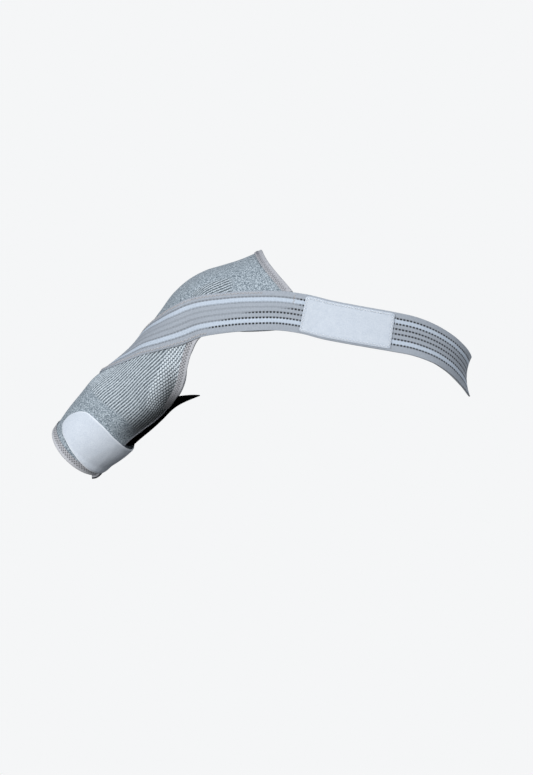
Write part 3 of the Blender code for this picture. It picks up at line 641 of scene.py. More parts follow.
def knit_sheet():
    """The knit's outer face, lifted along its normals by the relief, and its plain inner face."""
    u = np.concatenate((np.linspace(0.0, CLOSED_UP_TO, CLOSED_ROWS),
                        np.linspace(CLOSED_UP_TO, LAST_SECTION, OPEN_ROWS)[1:]))
    back, front = edge_angles(u)
    share_front = np.linspace(0.0, 1.0, FRONT_COLUMNS)
    share_back = np.linspace(-1.0, 0.0, BACK_COLUMNS)[:-1]
    share = np.concatenate((share_back, share_front))
    sheet = np.where(share < 0.0, -share * back[:, None], share * front[:, None])
    bridge = np.linspace(0.0, 1.0, BRIDGE_COLUMNS)[1:-1]
    bridge = front[:, None] + bridge * (2.0 * math.pi + back - front)[:, None]
    angle = np.concatenate((sheet, bridge), axis=1)
    rows, columns = angle.shape
    wide = np.broadcast_to(u[:, None], angle.shape)
    places = form_point(wide, angle)
    middle = places[:, columns // 3]
    along = np.concatenate(((0.0,), np.cumsum(np.linalg.norm(np.diff(middle, axis=0), axis=1))))
    around = np.cumsum(np.linalg.norm(np.diff(places, axis=1), axis=2), axis=1)
    around = np.concatenate((np.zeros((rows, 1)), around), axis=1)
    around = around - around[:, len(share_back)][:, None]
    pattern, lift = knit_relief(wide, angle, along[:, None])
    off_edges = smooth_step((1.0 - np.abs(share)) / EDGE_FADE)
    off_edges = np.concatenate((off_edges, np.zeros(bridge.shape[1])))
    pattern = pattern * (off_edges > 0.0)
    lift = lift * off_edges
    outer = inset_point(wide, angle, -(lift - FACE_SUNK))
    # the knit is whole round the arm at the cuff and open under the arm above it
    quads = grid_quads(rows, columns, closed=True)
    row, column = np.divmod(quads[:, 0], columns)
    quads = quads[(column < len(share) - 1) | (row < CLOSED_ROWS - 1)]
    uv = np.stack((around, np.broadcast_to(along[:, None], angle.shape)), axis=-1)
    # painted shade: the knit is painted near-black towards its front edge, next to the underarm insert
    near_edge = smooth_step((np.concatenate((share, np.ones(bridge.shape[1]))) - EDGE_SHADE_FROM) / EDGE_SHADE_FADE)
    painted_edge_shade = EDGE_SHADE_DEPTH * near_edge[None, :] * zone(wide, EDGE_SHADE_FIRST, EDGE_SHADE_LAST, 1.8)
    outside = make_piece("knit_outside", outer, quads, KNIT, uv=uv,
                         marks={"relief": pattern, "painted_edge_shade": painted_edge_shade})
    kept_rows = np.unique(np.concatenate((np.arange(0, rows, INNER_ROW_STEP), (rows - 1, CLOSED_ROWS - 1))))
    kept_columns = np.unique(np.concatenate((np.arange(0, len(share), INNER_COLUMN_STEP), (len(share) - 1,),
                                             np.arange(len(share), columns))))
    kept = np.ix_(kept_rows, kept_columns)
    inner = inset_point(wide[kept], angle[kept], KNIT_THICKNESS - 0.1)
    quads = grid_quads(len(kept_rows), len(kept_columns), closed=True)[:, ::-1]
    row, column = np.divmod(quads[:, 3], len(kept_columns))
    last = int(np.searchsorted(kept_columns, len(share) - 1))
    closed_row = int(np.searchsorted(kept_rows, CLOSED_ROWS - 1))
    quads = quads[(column < last) | (row < closed_row)]
    inside = make_piece("knit_inside", inner, quads, KNIT, uv=uv[kept])
    return outside, inside


def knit_rims():
    """Narrow strips that close the knit's front and rear edges: each edge at four depths."""
    u = np.linspace(CLOSED_UP_TO, LAST_SECTION, 240)
    back, front = edge_angles(u)
    depth = np.linspace(-FACE_SUNK, KNIT_THICKNESS, 4)
    wide, deep = np.meshgrid(u, depth, indexing="ij")
    pieces = []
    for name, angle, flip in (("knit_front_rim", front, False), ("knit_rear_rim", back, True)):
        points = inset_point(wide, angle[:, None] + 0.0 * wide, deep)
        quads = grid_quads(len(u), len(depth))
        quads = quads[:, ::-1] if flip else quads
        uv = np.stack((deep, 30.0 * wide), axis=-1)
        pieces.append(make_piece(name, points, quads, KNIT, uv=uv))
    return pieces


outside, inside = knit_sheet()
rims = knit_rims()
for piece in (outside, inside, *rims):
    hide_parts("knit_sleeve")

# The underarm insert, as in the part's source
PANEL_START = 1.72
PANEL_END = 5.75
PANEL_REAR_DROP = 0.55
PANEL_FLARE_FROM = 0.54
PANEL_FLARE_POWER = 1.8
PANEL_TIP = (-19.2, 6.0, -170.0)
PANEL_OVERLAP = math.radians(9.0)
EDGE_CLEARANCE = math.radians(6.0)
PANEL_DEPTH = KNIT_THICKNESS + GAP + PANEL_THICKNESS / 2.0
PANEL_ROWS = 90
PANEL_COLUMNS = 61


def underarm_insert():
    """The dark insert: a sheet under the knit's edges whose far end is drawn out to a point.

    The pull to the tip grows as a power of the way along and falls as 1 less the square of the share
    across, so it ends where the knit's edges begin.
    """
    w = np.linspace(-1.0, 1.0, PANEL_COLUMNS)[None, :]
    reached = np.linspace(0.0, 1.0, PANEL_ROWS)[:, None]
    u = PANEL_START + reached * (PANEL_END - PANEL_START + PANEL_REAR_DROP * np.minimum(w, 0.0))
    back, front = edge_angles(u)
    front_side = math.pi - w * (math.pi - front + PANEL_OVERLAP)
    back_side = math.pi - w * (math.pi + back + PANEL_OVERLAP)
    angle = np.where(w > 0.0, front_side, back_side)
    base = inset_point(u, angle, np.full(u.shape, PANEL_DEPTH))
    pull = np.clip((reached - PANEL_FLARE_FROM) / (1.0 - PANEL_FLARE_FROM), 0.0, 1.0) ** PANEL_FLARE_POWER
    hidden = PANEL_OVERLAP + EDGE_CLEARANCE
    free = np.where(w > 0.0, math.pi - front - EDGE_CLEARANCE, math.pi + back - EDGE_CLEARANCE)
    share = np.clip(np.abs(w) * (free + hidden) / free, 0.0, 1.0)
    drawn = np.array(PANEL_TIP) - base[-1, PANEL_COLUMNS // 2]
    points = base + (pull * (1.0 - share ** 2))[..., None] * drawn
    quads = grid_quads(PANEL_ROWS, PANEL_COLUMNS)[:, ::-1]
    # the insert's near-black colour is painted shade under the arm
    piece = make_piece("underarm_insert", points, quads, SHADE_BLACK_KNIT, thickness=PANEL_THICKNESS)
    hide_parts("underarm_panel")


underarm_insert()

# Folded edge tapes: distances in millimetres, stations in sections or angles
STITCH_PITCH = 4.2
HOLE_SIZE = 1.1
HOLE_DEPTH = 0.3
TAPE_HOLES = (
    # distance into the knit in millimetres, shift along the tape in pitches
    (8.3, 0.0), (6.0, 0.5), (3.9, 0.0),
)
ARMHOLE_LAST = 9.58
ARMHOLE_CORNER = 10.07
ARMHOLE_END = 5.05
ARMHOLE_STATIONS = 300
ARMHOLE_SHADE_TO = 6.6
ARMHOLE_SHADE_FADE = 1.4
TAPE_SLANT = 0.88
NECK_FRONT = math.radians(65.3)
NECK_CORNER = math.radians(69.3)
NECK_BACK = math.radians(-54.9)
NECK_STATIONS = 330
CUFF_STATIONS = 440
# How far the tape's inner half reaches into the knit
LEAF = 7.0


def tape_fold(inner_leaf):
    """Middle line across a tape, as distance into the knit and height.

    It is a flat outer half, a round fold at the edge, and then either a flat inner half or, with no
    inner half, a short turn down over the edge.
    """
    stand = TAPE_STAND + TAPE_THICKNESS / 2.0
    low = -KNIT_THICKNESS - stand
    outer = [(d, stand) for d in np.linspace(TAPE_WIDTH, 0.6, 22)]
    if inner_leaf:
        centre = (stand + low) / 2.0
        radius = (stand - low) / 2.0
        turn = np.linspace(math.pi / 2.0, -math.pi / 2.0, 9)
        fold = [(-0.55 * radius * math.cos(a), centre + radius * math.sin(a)) for a in turn]
        inner = [(d, low) for d in np.linspace(0.6, inner_leaf, 7)]
        return np.array(outer + fold + inner)
    turn = np.linspace(math.pi / 2.0, 0.0, 5)
    fold = [(-stand * 0.9 * math.cos(a), stand - 1.0 + 1.0 * math.sin(a)) for a in turn]
    return np.array(outer + fold + [(-stand * 0.9, -1.4)])


def edge_tape(name, node, u, angle, inner_leaf, closed=False, hole_depth=1.0, material=TAPE, shade=0.0):
    """A folded tape along the edge, dimpled where the seam's needle punctures are.

    u and angle have a row for each station and a column for each line of the fold.  A hole is a bell
    curve of the distance from its middle.  shade is painted shade: it darkens the cloth at each station.
    """
    profile = tape_fold(inner_leaf)
    distance, height = profile[:, 0], profile[:, 1]
    edge = form_point(u, angle)
    normal = form_normal(u, angle)
    if closed:
        run = unit(np.roll(edge, -1, axis=0) - np.roll(edge, 1, axis=0))
    else:
        run = unit(np.gradient(edge, axis=0))
    into = unit(np.cross(normal, run))
    steps = np.linalg.norm(np.diff(edge[:, 0], axis=0), axis=1)
    length = np.concatenate(((0.0,), np.cumsum(steps)))
    holes_and_painted_shade = np.zeros((len(edge), len(profile)))
    for place, shift in TAPE_HOLES:
        beat = (length / STITCH_PITCH + shift) % 1.0 - 0.5
        across = (distance[None, :] - place) / HOLE_SIZE
        spot = (beat[:, None] * STITCH_PITCH / HOLE_SIZE) ** 2 + across ** 2
        holes_and_painted_shade = np.maximum(holes_and_painted_shade, hole_depth * np.exp(-spot) * (height[None, :] > 0.0))
    flat = edge + distance[None, :, None] * into
    on_knit = distance > 0.0
    lift = height[None, :] - HOLE_DEPTH * holes_and_painted_shade
    points = flat + lift[..., None] * normal
    points[:, on_knit] = laid(flat[:, on_knit], lift[:, on_knit])
    # painted shade is kept in the same mark as the needle punctures and darkens the cloth like them
    holes_and_painted_shade = np.maximum(holes_and_painted_shade, shade + 0.0 * holes_and_painted_shade)
    if closed:
        points, holes_and_painted_shade = points.transpose(1, 0, 2), holes_and_painted_shade.T
        quads = grid_quads(points.shape[0], points.shape[1], closed=True)
    else:
        quads = grid_quads(points.shape[0], points.shape[1])[:, ::-1]
    piece = make_piece(name, points, quads, material, marks={"holes_and_painted_shade": holes_and_painted_shade},
                       thickness=TAPE_THICKNESS)
    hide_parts(node)


def open_tape(name, node, side, corner):
    """An armhole tape from the underarm up, on the rear edge (side 0) or the front edge (side 1).

    Past its last station it runs on slanting to the corner: the further in, the shorter its step.
    """
    inward = np.maximum(tape_fold(0.0)[:, 0], 0.0) / TAPE_WIDTH
    u = np.linspace(ARMHOLE_END, corner, ARMHOLE_STATIONS)[:, None]
    u = np.where(u > ARMHOLE_LAST, ARMHOLE_LAST + (u - ARMHOLE_LAST) * (1.0 - TAPE_SLANT * inward), u)
    angle = edge_angles(u)[side]
    if side == 0:
        edge_tape(name, node, u[::-1], angle[::-1], 0.0)
        return
    # painted shade: the front tape darkens towards its low end at the underarm
    shade = 0.85 * smooth_step((ARMHOLE_SHADE_TO - u) / ARMHOLE_SHADE_FADE)
    edge_tape(name, node, u, angle, 0.0, shade=shade)


def neck_tape():
    """The tape on the neck edge: at its front end it slants from the fold to the strap's edge."""
    inward = np.maximum(tape_fold(LEAF)[:, 0], 0.0) / TAPE_WIDTH
    angle = np.linspace(NECK_CORNER, NECK_BACK, NECK_STATIONS)[:, None]
    slanting = NECK_FRONT + (angle - NECK_FRONT) * (1.0 - TAPE_SLANT * inward)
    angle = np.where(angle > NECK_FRONT, slanting, angle)
    edge_tape("neck_edge_tape", "neck_tape", np.full(angle.shape, float(LAST_SECTION)), angle, LEAF,
              hole_depth=0.45, material=SHADED_NECK_TAPE)


def cuff_tape():
    """The tape on the cuff, all the way round."""
    angle = np.linspace(-math.pi, math.pi, CUFF_STATIONS, endpoint=False)[:, None]
    angle = angle + np.zeros(len(tape_fold(LEAF)))
    edge_tape("cuff_edge_tape", "cuff_tape", np.zeros(angle.shape), angle, LEAF, closed=True)


open_tape("armhole_tape_in_front", "armhole_tape_front", 1, ARMHOLE_CORNER)
open_tape("armhole_tape_behind", "armhole_tape_back", 0, ARMHOLE_LAST)
neck_tape()
cuff_tape()

# Fine stitches on the neck tape: from and to, in millimetres from the edge, and their slant
NECK_STITCH_STEP = math.radians(1.55)
NECK_STITCH_FROM = 4.2
NECK_STITCH_TO = 7.6
NECK_STITCH_SLANT = 1.6


def slanting_stitches():
    """Fine slanting stitches along the inner half of the neck tape, one at each step of the angle."""
    angle = np.arange(NECK_BACK + 0.03, NECK_FRONT - 0.01, NECK_STITCH_STEP)
    edge = np.full(len(angle), float(LAST_SECTION))
    base, normal = form_point(edge, angle), form_normal(edge, angle)
    run = unit(form_slopes(edge, angle)[1])
    into = unit(np.cross(run, normal))
    starts = laid(base + NECK_STITCH_FROM * into, TAPE_TOP + 0.05)
    ends = laid(base + NECK_STITCH_TO * into + NECK_STITCH_SLANT * run, TAPE_TOP + 0.05)
    make_stitches("neck_tape_stitches", starts, ends, normal, 0.28, DARK_THREAD, arch=0.15)


slanting_stitches()

# The elastic strap, as in the part's source
STRAP_ON_ARM = np.array((
    # section, angle, widening where it is sewn on slack, hold by the knit
    (2.78, -90.0, 0.0, 1.0),
    (3.25, -62.0, 0.5, 1.0),
    (3.84, -33.0, 1.0, 1.0),
    (4.28, -8.0, 2.0, 1.0),
    (4.93, 12.5, 3.0, 1.0),
    (5.75, 32.7, 3.5, 1.0),
    (6.73, 51.1, 4.0, 0.8),
    (8.0, 67.2, 4.0, 0.6),
    (9.2, 75.8, 3.8, 0.5),
    (10.3, 76.8, 3.2, 0.4),
    (11.3, 74.4, 2.5, 0.4),
    (12.0, 74.2, 2.0, 0.5),
))
STRAP_ROUND_FRONT = np.array((
    # x, y, z, lean in degrees, cup
    (87.0, -88.0, -57.9, 10.0, 0.0),
    (119.0, -96.0, -62.3, 9.0, 0.0),
    (150.0, -101.0, -70.0, 8.0, 0.0),
    (178.0, -103.0, -75.5, 8.0, 0.0),
    (209.0, -102.0, -81.0, 8.0, 0.0),
    (238.0, -98.0, -86.0, 9.0, 0.0),
    (267.0, -90.0, -92.0, 12.0, 0.0),
    (294.0, -77.0, -102.0, 13.0, 0.0),
    (315.5, -60.0, -114.5, 9.0, 0.0),
    (330.0, -42.0, -126.5, 3.0, 1.0),
    (340.0, -22.0, -137.0, -1.0, 3.0),
    (345.3, 0.0, -145.0, -1.0, 5.0),
))
# Hold by the knit at the first rows in front and at the last rows behind
HOLD_AT_FRONT = (0.7, 0.4)
HOLD_AT_BACK = (0.5, 1.0, 1.0)
# The stretch behind mirrors the one in front, a little wider and higher
BACK_WIDER = 0.08
BACK_HIGHER = 0.042
STRAP_BACK_END = np.array((
    # section, angle, widening, hold
    (12.3, -75.0, 0.0, 1.0),
    (11.8, -73.0, 0.0, 1.0),
    (11.2, -71.0, 0.0, 1.0),
))
CHEST_FRONT_Y = -60.0
PATCH_START_X = 118.5
ROUTE_STEPS = 1500


def strap_route():
    """Rows along the strap's middle line: place, lean, cup, widening, hold, and the length so far."""
    arm_angle, end_angle = np.radians(STRAP_ON_ARM[:, 1]), np.radians(STRAP_BACK_END[:, 1])
    on_arm = inset_point(STRAP_ON_ARM[:, 0], arm_angle, np.full(len(arm_angle), -STRAP_MIDDLE))
    at_back = inset_point(STRAP_BACK_END[:, 0], end_angle, np.full(len(end_angle), -STRAP_MIDDLE))
    front = STRAP_ROUND_FRONT
    back = front[-2::-1].copy()
    back[:, 0] += BACK_WIDER * np.abs(back[:, 1])
    back[:, 2] += BACK_HIGHER * np.abs(back[:, 1])
    back[:, 1] *= -1.0
    places = np.vstack((on_arm, front[:, :3], back[:, :3], at_back))
    steady = np.full(len(on_arm), front[0, 3])
    lean = np.concatenate((steady, front[:, 3], back[:, 3], steady[:len(at_back)]))
    cup = np.concatenate((0.0 * steady, front[:, 4], back[:, 4], 0.0 * steady[:len(at_back)]))
    wider = np.zeros(len(places))
    wider[:len(on_arm)] = STRAP_ON_ARM[:, 2]
    held = np.zeros(len(front) + len(back))
    held[:len(HOLD_AT_FRONT)] = HOLD_AT_FRONT
    held[-len(HOLD_AT_BACK):] = HOLD_AT_BACK
    held = np.concatenate((STRAP_ON_ARM[:, 3], held, STRAP_BACK_END[:, 3]))
    values = np.column_stack((places, lean, cup, wider, held))
    rows = spline(values, np.linspace(0.0, len(places) - 1.0, ROUTE_STEPS))
    steps = np.linalg.norm(np.diff(rows[:, :3], axis=0), axis=1)
    return np.column_stack((rows, np.concatenate(((0.0,), np.cumsum(steps)))))


STRAP_ROUTE = strap_route()
ROUTE_LENGTH = STRAP_ROUTE[:, 7]
STRAP_LENGTH = float(ROUTE_LENGTH[-1])


def route_at(lengths, columns):
    """The route's first columns at these lengths, read in straight lines between its rows."""
    return np.column_stack([np.interp(lengths, ROUTE_LENGTH, STRAP_ROUTE[:, k]) for k in range(columns)])


def strap_points(lengths, offsets, lift):
    """Places at these lengths and offsets up from the middle line, and the outward direction there.

    Where the strap is held the place is laid on the form; elsewhere it stands on a line across the
    run that leans by the row's angle and is cupped by a parabola.
    """
    rows = route_at(lengths, 7)
    middle, lean = rows[:, :3], np.radians(rows[:, 3])
    cup, stretch = rows[:, 4:5], 1.0 + rows[:, 5:6] / STRAP_WIDTH
    held = np.clip(rows[:, 6], 0.0, 1.0)[:, None]
    run = unit(route_at(lengths + 1.0, 3) - route_at(lengths - 1.0, 3))
    near_u, near_angle = nearest_on_form(middle)
    across_knit = unit(np.cross(form_normal(near_u, near_angle), run))
    up = np.array((0.0, 0.0, 1.0))
    across_free = unit(up - (run @ up)[:, None] * run)
    inward = np.cross(across_free, run)
    across_free = across_free * np.cos(lean)[:, None] + inward * np.sin(lean)[:, None]
    across = unit(held * across_knit + (1.0 - held) * across_free)
    outward = unit(np.cross(run, across))
    offsets = np.broadcast_to(offsets, (len(lengths), np.shape(offsets)[-1]))
    lift = np.broadcast_to(lift, offsets.shape)
    spread = middle[:, None, :] + (offsets * stretch)[:, :, None] * across[:, None, :]
    raised = lift - STRAP_MIDDLE - cup * (1.0 - (2.0 * offsets / STRAP_WIDTH) ** 2)
    points = spread + raised[..., None] * outward[:, None, :]
    touching = held[:, 0] > 0.0
    share = held[touching][:, None, :]
    points[touching] = share * laid(spread[touching], lift[touching]) + (1.0 - share) * points[touching]
    return points, outward


KNIT_BEHIND_STRAP = np.array((
    # across the strap, x in millimetres where the knit behind it ends, how dark the painted shade in the
    # openwork is over it
    (0.155, 113.7, 0.42),
    (0.29, 116.3, 0.3),
    (0.42, 101.8, 0.14),
    (0.545, 45.2, 0.22),
    (0.68, 12.2, 0.38),
    (0.82, -4.9, 0.4),
))
# Length from its end at the back of the arm up to which the strap is sewn down
SEWN_UP_TO = 300.0
SEWN_FADE = 12.0
SEWN_DROP = 0.8
STRAP_ROWS = 760
STRAP_COLUMNS = 57
GROOVE_DEPTH = 0.3
SELVEDGE_HEIGHT = 0.12


def elastic_strap():
    """The strap as one band: bell-shaped grooves on its openwork lines and pressed edges where sewn."""
    lengths = np.linspace(0.0, STRAP_LENGTH, STRAP_ROWS)
    across = np.linspace(1.0, 0.0, STRAP_COLUMNS)
    groove = np.zeros(STRAP_COLUMNS)
    for line in STRAP_LINES:
        groove = np.maximum(groove, np.exp(-((across - line) / 0.012) ** 2))
    from_edge = np.minimum(across, 1.0 - across)
    selvedge = SELVEDGE_HEIGHT * np.exp(-(from_edge / 0.02) ** 2)
    sewn = smooth_step((SEWN_UP_TO - lengths) / SEWN_FADE)
    drop = SEWN_DROP * np.exp(-(from_edge[None, :] * STRAP_WIDTH / 1.8) ** 2) * sewn[:, None]
    lift = STRAP_MIDDLE - GROOVE_DEPTH * groove + selvedge - drop
    points, _ = strap_points(lengths, (0.5 - across) * STRAP_WIDTH, lift)
    knit_end = np.interp(across, KNIT_BEHIND_STRAP[:, 0], KNIT_BEHIND_STRAP[:, 1])
    covered = np.interp(across, KNIT_BEHIND_STRAP[:, 0], KNIT_BEHIND_STRAP[:, 2])
    # painted shade seen through the openwork: full where no knit lies behind
    free = smooth_step((points[..., 0] - knit_end[None, :]) / 10.0 + 0.5)
    openwork = covered[None, :] + (1.0 - covered[None, :]) * free
    uv = np.stack(np.broadcast_arrays(lengths[:, None], across[None, :]), axis=-1)
    quads = grid_quads(STRAP_ROWS, STRAP_COLUMNS)[:, ::-1]
    piece = make_piece("elastic_body_strap", points, quads, ELASTIC, uv=uv,
                       marks={"openwork": openwork}, thickness=STRAP_THICKNESS)
    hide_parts("body_strap")
    return piece


strap = elastic_strap()


def length_at_chest(x):
    """Length along the strap at which its stretch on the chest reaches this x."""
    in_front = STRAP_ROUTE[STRAP_ROUTE[:, 1] < CHEST_FRONT_Y]
    return np.interp(x, in_front[:, 0], in_front[:, 7])


# The velour patch on the chest
PATCH_START = length_at_chest(PATCH_START_X)
PATCH_END = PATCH_START + PATCH_LENGTH
PATCH_CORNER = 3.0
PATCH_ACROSS = 41
PATCH_BASE = STRAP_STAND + STRAP_THICKNESS + GAP
# The seam round the patch: inset, stitch length, swing and radius of the thread in millimetres
SEAM_INSET = 2.3
SEAM_PITCH = 2.2
SEAM_SWING = 1.3
SEAM_THREAD = 0.42


def rounded_patch():
    """The velour patch: a rectangle with rounded corners and pressed edges, laid on the strap.

    Its half width is less a quarter circle at the ends, and two bell curves of the distance from the
    rim press the edge and the seam in.
    """
    close = (0.5 - 0.5 * np.cos(np.linspace(0.0, math.pi, 41)))[:12] * 0.2
    t = np.concatenate((close, np.linspace(close[11], 1.0 - close[11], 80)[1:-1], 1.0 - close[::-1]))
    lengths = PATCH_START + t * PATCH_LENGTH
    from_end = np.minimum(lengths - PATCH_START, PATCH_END - lengths)
    short = np.maximum(PATCH_CORNER - from_end, 0.0)
    cut = PATCH_CORNER - np.sqrt(np.maximum(PATCH_CORNER ** 2 - short ** 2, 0.0))
    half = PATCH_WIDTH / 2.0 - cut
    side = np.sin(np.linspace(-math.pi / 2.0, math.pi / 2.0, PATCH_ACROSS))
    offsets = half[:, None] * side[None, :]
    from_rim = np.minimum(np.minimum(half[:, None] - np.abs(offsets), 30.0), from_end[:, None])
    pressed = 0.35 * np.exp(-(from_rim / 1.2) ** 2) + 0.22 * np.exp(-((from_rim - 3.0) / 1.0) ** 2)
    points, _ = strap_points(lengths, offsets, PATCH_BASE + VELOUR_THICKNESS / 2.0 - pressed)
    quads = grid_quads(len(lengths), PATCH_ACROSS)[:, ::-1]
    # painted shade in the pressed seam groove, with the needle punctures
    seam = 0.5 * np.exp(-((from_rim - SEAM_INSET) / 1.4) ** 2)
    piece = make_piece("velour_patch", points, quads, VELOUR, marks={"seam": seam},
                       thickness=VELOUR_THICKNESS)
    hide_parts("strap_patch")
    return piece


patch = rounded_patch()


def zigzag(name, lengths, offsets, swing_along, swing_across, lift, radius, material):
    """A row of zigzag stitches on the strap: corners swing to both sides of a line by turns."""
    side = np.where(np.arange(len(lengths)) % 2 == 0, 1.0, -1.0)
    offsets = (offsets + side * swing_across)[:, None]
    points, outward = strap_points(lengths + side * swing_along, offsets, np.full(offsets.shape, lift))
    points = points[:, 0]
    make_stitches(name, points[:-1], points[1:], outward[:-1], radius, material)


def patch_stitching():
    """Zigzag stitches round the patch, a little inside its edge: two rows along, two upright."""
    top_of_velour = PATCH_BASE + VELOUR_THICKNESS - 0.25
    half = PATCH_WIDTH / 2.0 - SEAM_INSET
    first, last = PATCH_START + SEAM_INSET, PATCH_END - SEAM_INSET
    along = np.arange(first, last, SEAM_PITCH)
    upright = np.arange(-half, half, SEAM_PITCH)
    for name, offset in (("patch_stitches_top", half), ("patch_stitches_bottom", -half)):
        zigzag(name, along, np.full(len(along), offset), 0.0, SEAM_SWING, top_of_velour,
               SEAM_THREAD, PALE_THREAD)
    for name, place in (("patch_stitches_left", first), ("patch_stitches_right", last)):
        zigzag(name, np.full(len(upright), place), upright, SEAM_SWING, 0.0, top_of_velour,
               SEAM_THREAD, PALE_THREAD)


patch_stitching()

# Seams that hold the strap on the knit, and the one where the knit's front corner is sewn to it
STRAP_SEAM_INSET = 3.2
STRAP_SEAM_PITCH = 2.3
STRAP_SEAM_THREAD = 0.34
CORNER_SEAM_X = 104.5
STRAP_SEAMS = (
    # name, side of the strap, first and last length
    ("strap_stitches_upper", 1.0, 20.0, 330.0),
    ("strap_stitches_lower", -1.0, 20.0, 250.0),
)


def seam_on_knit():
    """Zigzag stitches that hold the strap's edges on the knit, and a short row down at the corner."""
    over = STRAP_STAND + STRAP_THICKNESS + 0.05
    offset = 0.5 * STRAP_WIDTH - STRAP_SEAM_INSET
    for name, side, first, last in STRAP_SEAMS:
        along = np.arange(first, last, STRAP_SEAM_PITCH)
        zigzag(name, along, np.full(len(along), side * offset), 0.0, 1.4, over,
               STRAP_SEAM_THREAD, BEIGE_THREAD)
    down = np.arange(offset, 0.5 * STRAP_WIDTH - 16.0, -2.0)
    corner = np.full(len(down), length_at_chest(CORNER_SEAM_X))
    zigzag("strap_stitches_corner", corner, down, 1.3, 0.0, over, STRAP_SEAM_THREAD, BEIGE_THREAD)


seam_on_knit()

# The closing tab
TAB_EDGES = np.array((
    # angle, lower section, upper section
    (35.0, 0.80, 0.92),
    (37.0, 0.68, 1.22),
    (44.0, 0.59, 1.56),
    (53.0, 0.50, 1.83),
    (65.0, 0.45, 2.00),
    (91.0, 0.32, 2.02),
    (118.0, 0.19, 1.86),
    (146.0, 0.12, 1.68),
    (180.0, 0.10, 1.54),
    (212.0, 0.12, 1.52),
    (240.0, 0.20, 1.55),
))
TAB_RISE_FROM = TAPE_WIDTH + 9.0
TAB_RISE_LENGTH = 8.0
TAB_ROWS = 240
TAB_COLUMNS = 61
TAB_CREASES = (
    # height in millimetres, angle at section 1, degrees it moves per section, half width in degrees
    (0.16, 118.0, 10.0, 5.0),
    (0.14, 132.0, -8.0, 4.0),
)


def closing_tab():
    """The velour tab: a band round the cuff end, stepped over the cuff tape, with soft creases.

    The step is a straight rise near the cuff, the edges are pressed by a bell curve of the distance
    from the rim, and each crease is a bell curve of the angle from its own slanting line.
    """
    rows = spline(TAB_EDGES, np.linspace(0.0, len(TAB_EDGES) - 1.0, TAB_ROWS))
    share = 0.5 - 0.5 * np.cos(np.linspace(0.0, math.pi, TAB_COLUMNS))
    u = rows[:, 1:2] + share * (rows[:, 2:3] - rows[:, 1:2])
    angle = np.broadcast_to(np.radians(rows[:, 0:1]), u.shape)
    base = form_point(u, angle)
    from_cuff = np.linalg.norm(base - form_point(np.zeros_like(u), angle), axis=-1)
    over_tape = np.clip((TAB_RISE_FROM - from_cuff) / TAB_RISE_LENGTH, 0.0, 1.0)
    low_rim = np.linalg.norm(base - base[:, :1], axis=-1)
    high_rim = np.linalg.norm(base - base[:, -1:], axis=-1)
    from_rim = np.minimum(low_rim, high_rim)
    pressed = 0.4 * np.exp(-(from_rim / 1.3) ** 2)
    crease = np.zeros(u.shape)
    for height, middle, slant, width in TAB_CREASES:
        crease += height * np.exp(-((np.degrees(angle) - middle - slant * (u - 1.0)) / width) ** 2)
    crease *= smooth_step(from_rim / 4.0)
    lift = TAB_STAND + VELOUR_THICKNESS / 2.0 + over_tape * TAPE_TOP - pressed + crease
    points = base + lift[..., None] * form_normal(u, angle)
    # painted highlight along the tab's rim
    rim = 0.8 * np.exp(-((from_rim - 0.5) / 0.7) ** 2)
    piece = make_piece("closing_tab", points, grid_quads(TAB_ROWS, TAB_COLUMNS), LIT_TAB_VELOUR,
                       marks={"seam": rim}, thickness=VELOUR_THICKNESS)
    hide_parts("arm_tab")
    return piece


tab = closing_tab()

# The free end of the cuff tape
TAPE_END_WIDTH = 6.6
TAPE_END_PATH = np.array((
    # x, y, z, turn of the ribbon in degrees
    (-152.0, 30.0, -271.5, 35.0),
    (-156.0, 28.0, -276.0, 50.0),
    (-161.0, 26.8, -279.6, 58.0),
    (-166.5, 26.2, -280.6, 62.0),
))
TAPE_END_ROWS = 25
TAPE_END_COLUMNS = 13


def tape_end():
    """The small curled end of the cuff tape: a strip swept along a short curl and turned to the front.

    Its lower half is painted dark as shade.
    """
    path = spline(TAPE_END_PATH, np.linspace(0.0, len(TAPE_END_PATH) - 1.0, TAPE_END_ROWS))
    run = unit(np.gradient(path[:, :3], axis=0))
    depth = np.array((0.0, 1.0, 0.0))
    aside = unit(np.cross(run, depth))
    level = np.cross(aside, run)
    turn = np.radians(path[:, 3:4])
    side = np.cos(turn) * level + np.sin(turn) * aside
    across = np.linspace(-0.5, 0.5, TAPE_END_COLUMNS) * TAPE_END_WIDTH
    points = path[:, None, :3] + across[None, :, None] * side[:, None, :]
    # painted shade on the lower half of the strip
    shade = np.tile(0.95 * smooth_step((across / TAPE_END_WIDTH - 0.02) / 0.16), (TAPE_END_ROWS, 1))
    piece = make_piece("cuff_tape_free_end", points, grid_quads(TAPE_END_ROWS, TAPE_END_COLUMNS), TAPE,
                       marks={"holes_and_painted_shade": shade}, thickness=TAPE_THICKNESS)
    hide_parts("cuff_tape_end")


tape_end()


def overlock():
    """Slanting overlock stitches along the knit's front edge where no tape covers it."""
    u = np.linspace(PANEL_START + 0.05, ARMHOLE_END + 0.05, 70)
    front = edge_angles(u)[1]
    inner = inset_point(u, front - math.radians(3.0), np.full(len(u), -0.25))
    shifted = u + 0.02
    outer = inset_point(shifted, edge_angles(shifted)[1] + math.radians(0.6), np.full(len(u), -0.2))
    normals = form_normal(u, front)
    make_stitches("overlock_stitches", inner, outer, normals, 0.35, DARK_THREAD, arch=0.3)


overlock()

# Floor, light and camera, in metres and watts
PALE = "#f5f6f7"
FLOOR_HALF = 3.5
FLOOR_LEVEL = -1.2
LAMPS = (
    # name, place, aim, width, power
    ("key", (-1.45, -2.6, 0.35), (-0.05, 0.0, -0.12), 1.4, 71.0),
    ("front", (0.8, -3.0, -0.5), (0.0, 0.0, -0.15), 1.2, 15.0),
    ("fill", (2.1, -1.5, 1.9), (0.15, 0.0, -0.1), 1.4, 30.0),
)
CAMERA_PLACE = (0.070875, -4.0, -0.1593)
SENSOR = 36.0
PHOTO_HEIGHT = 775
PHOTO_PIXEL = 0.00135


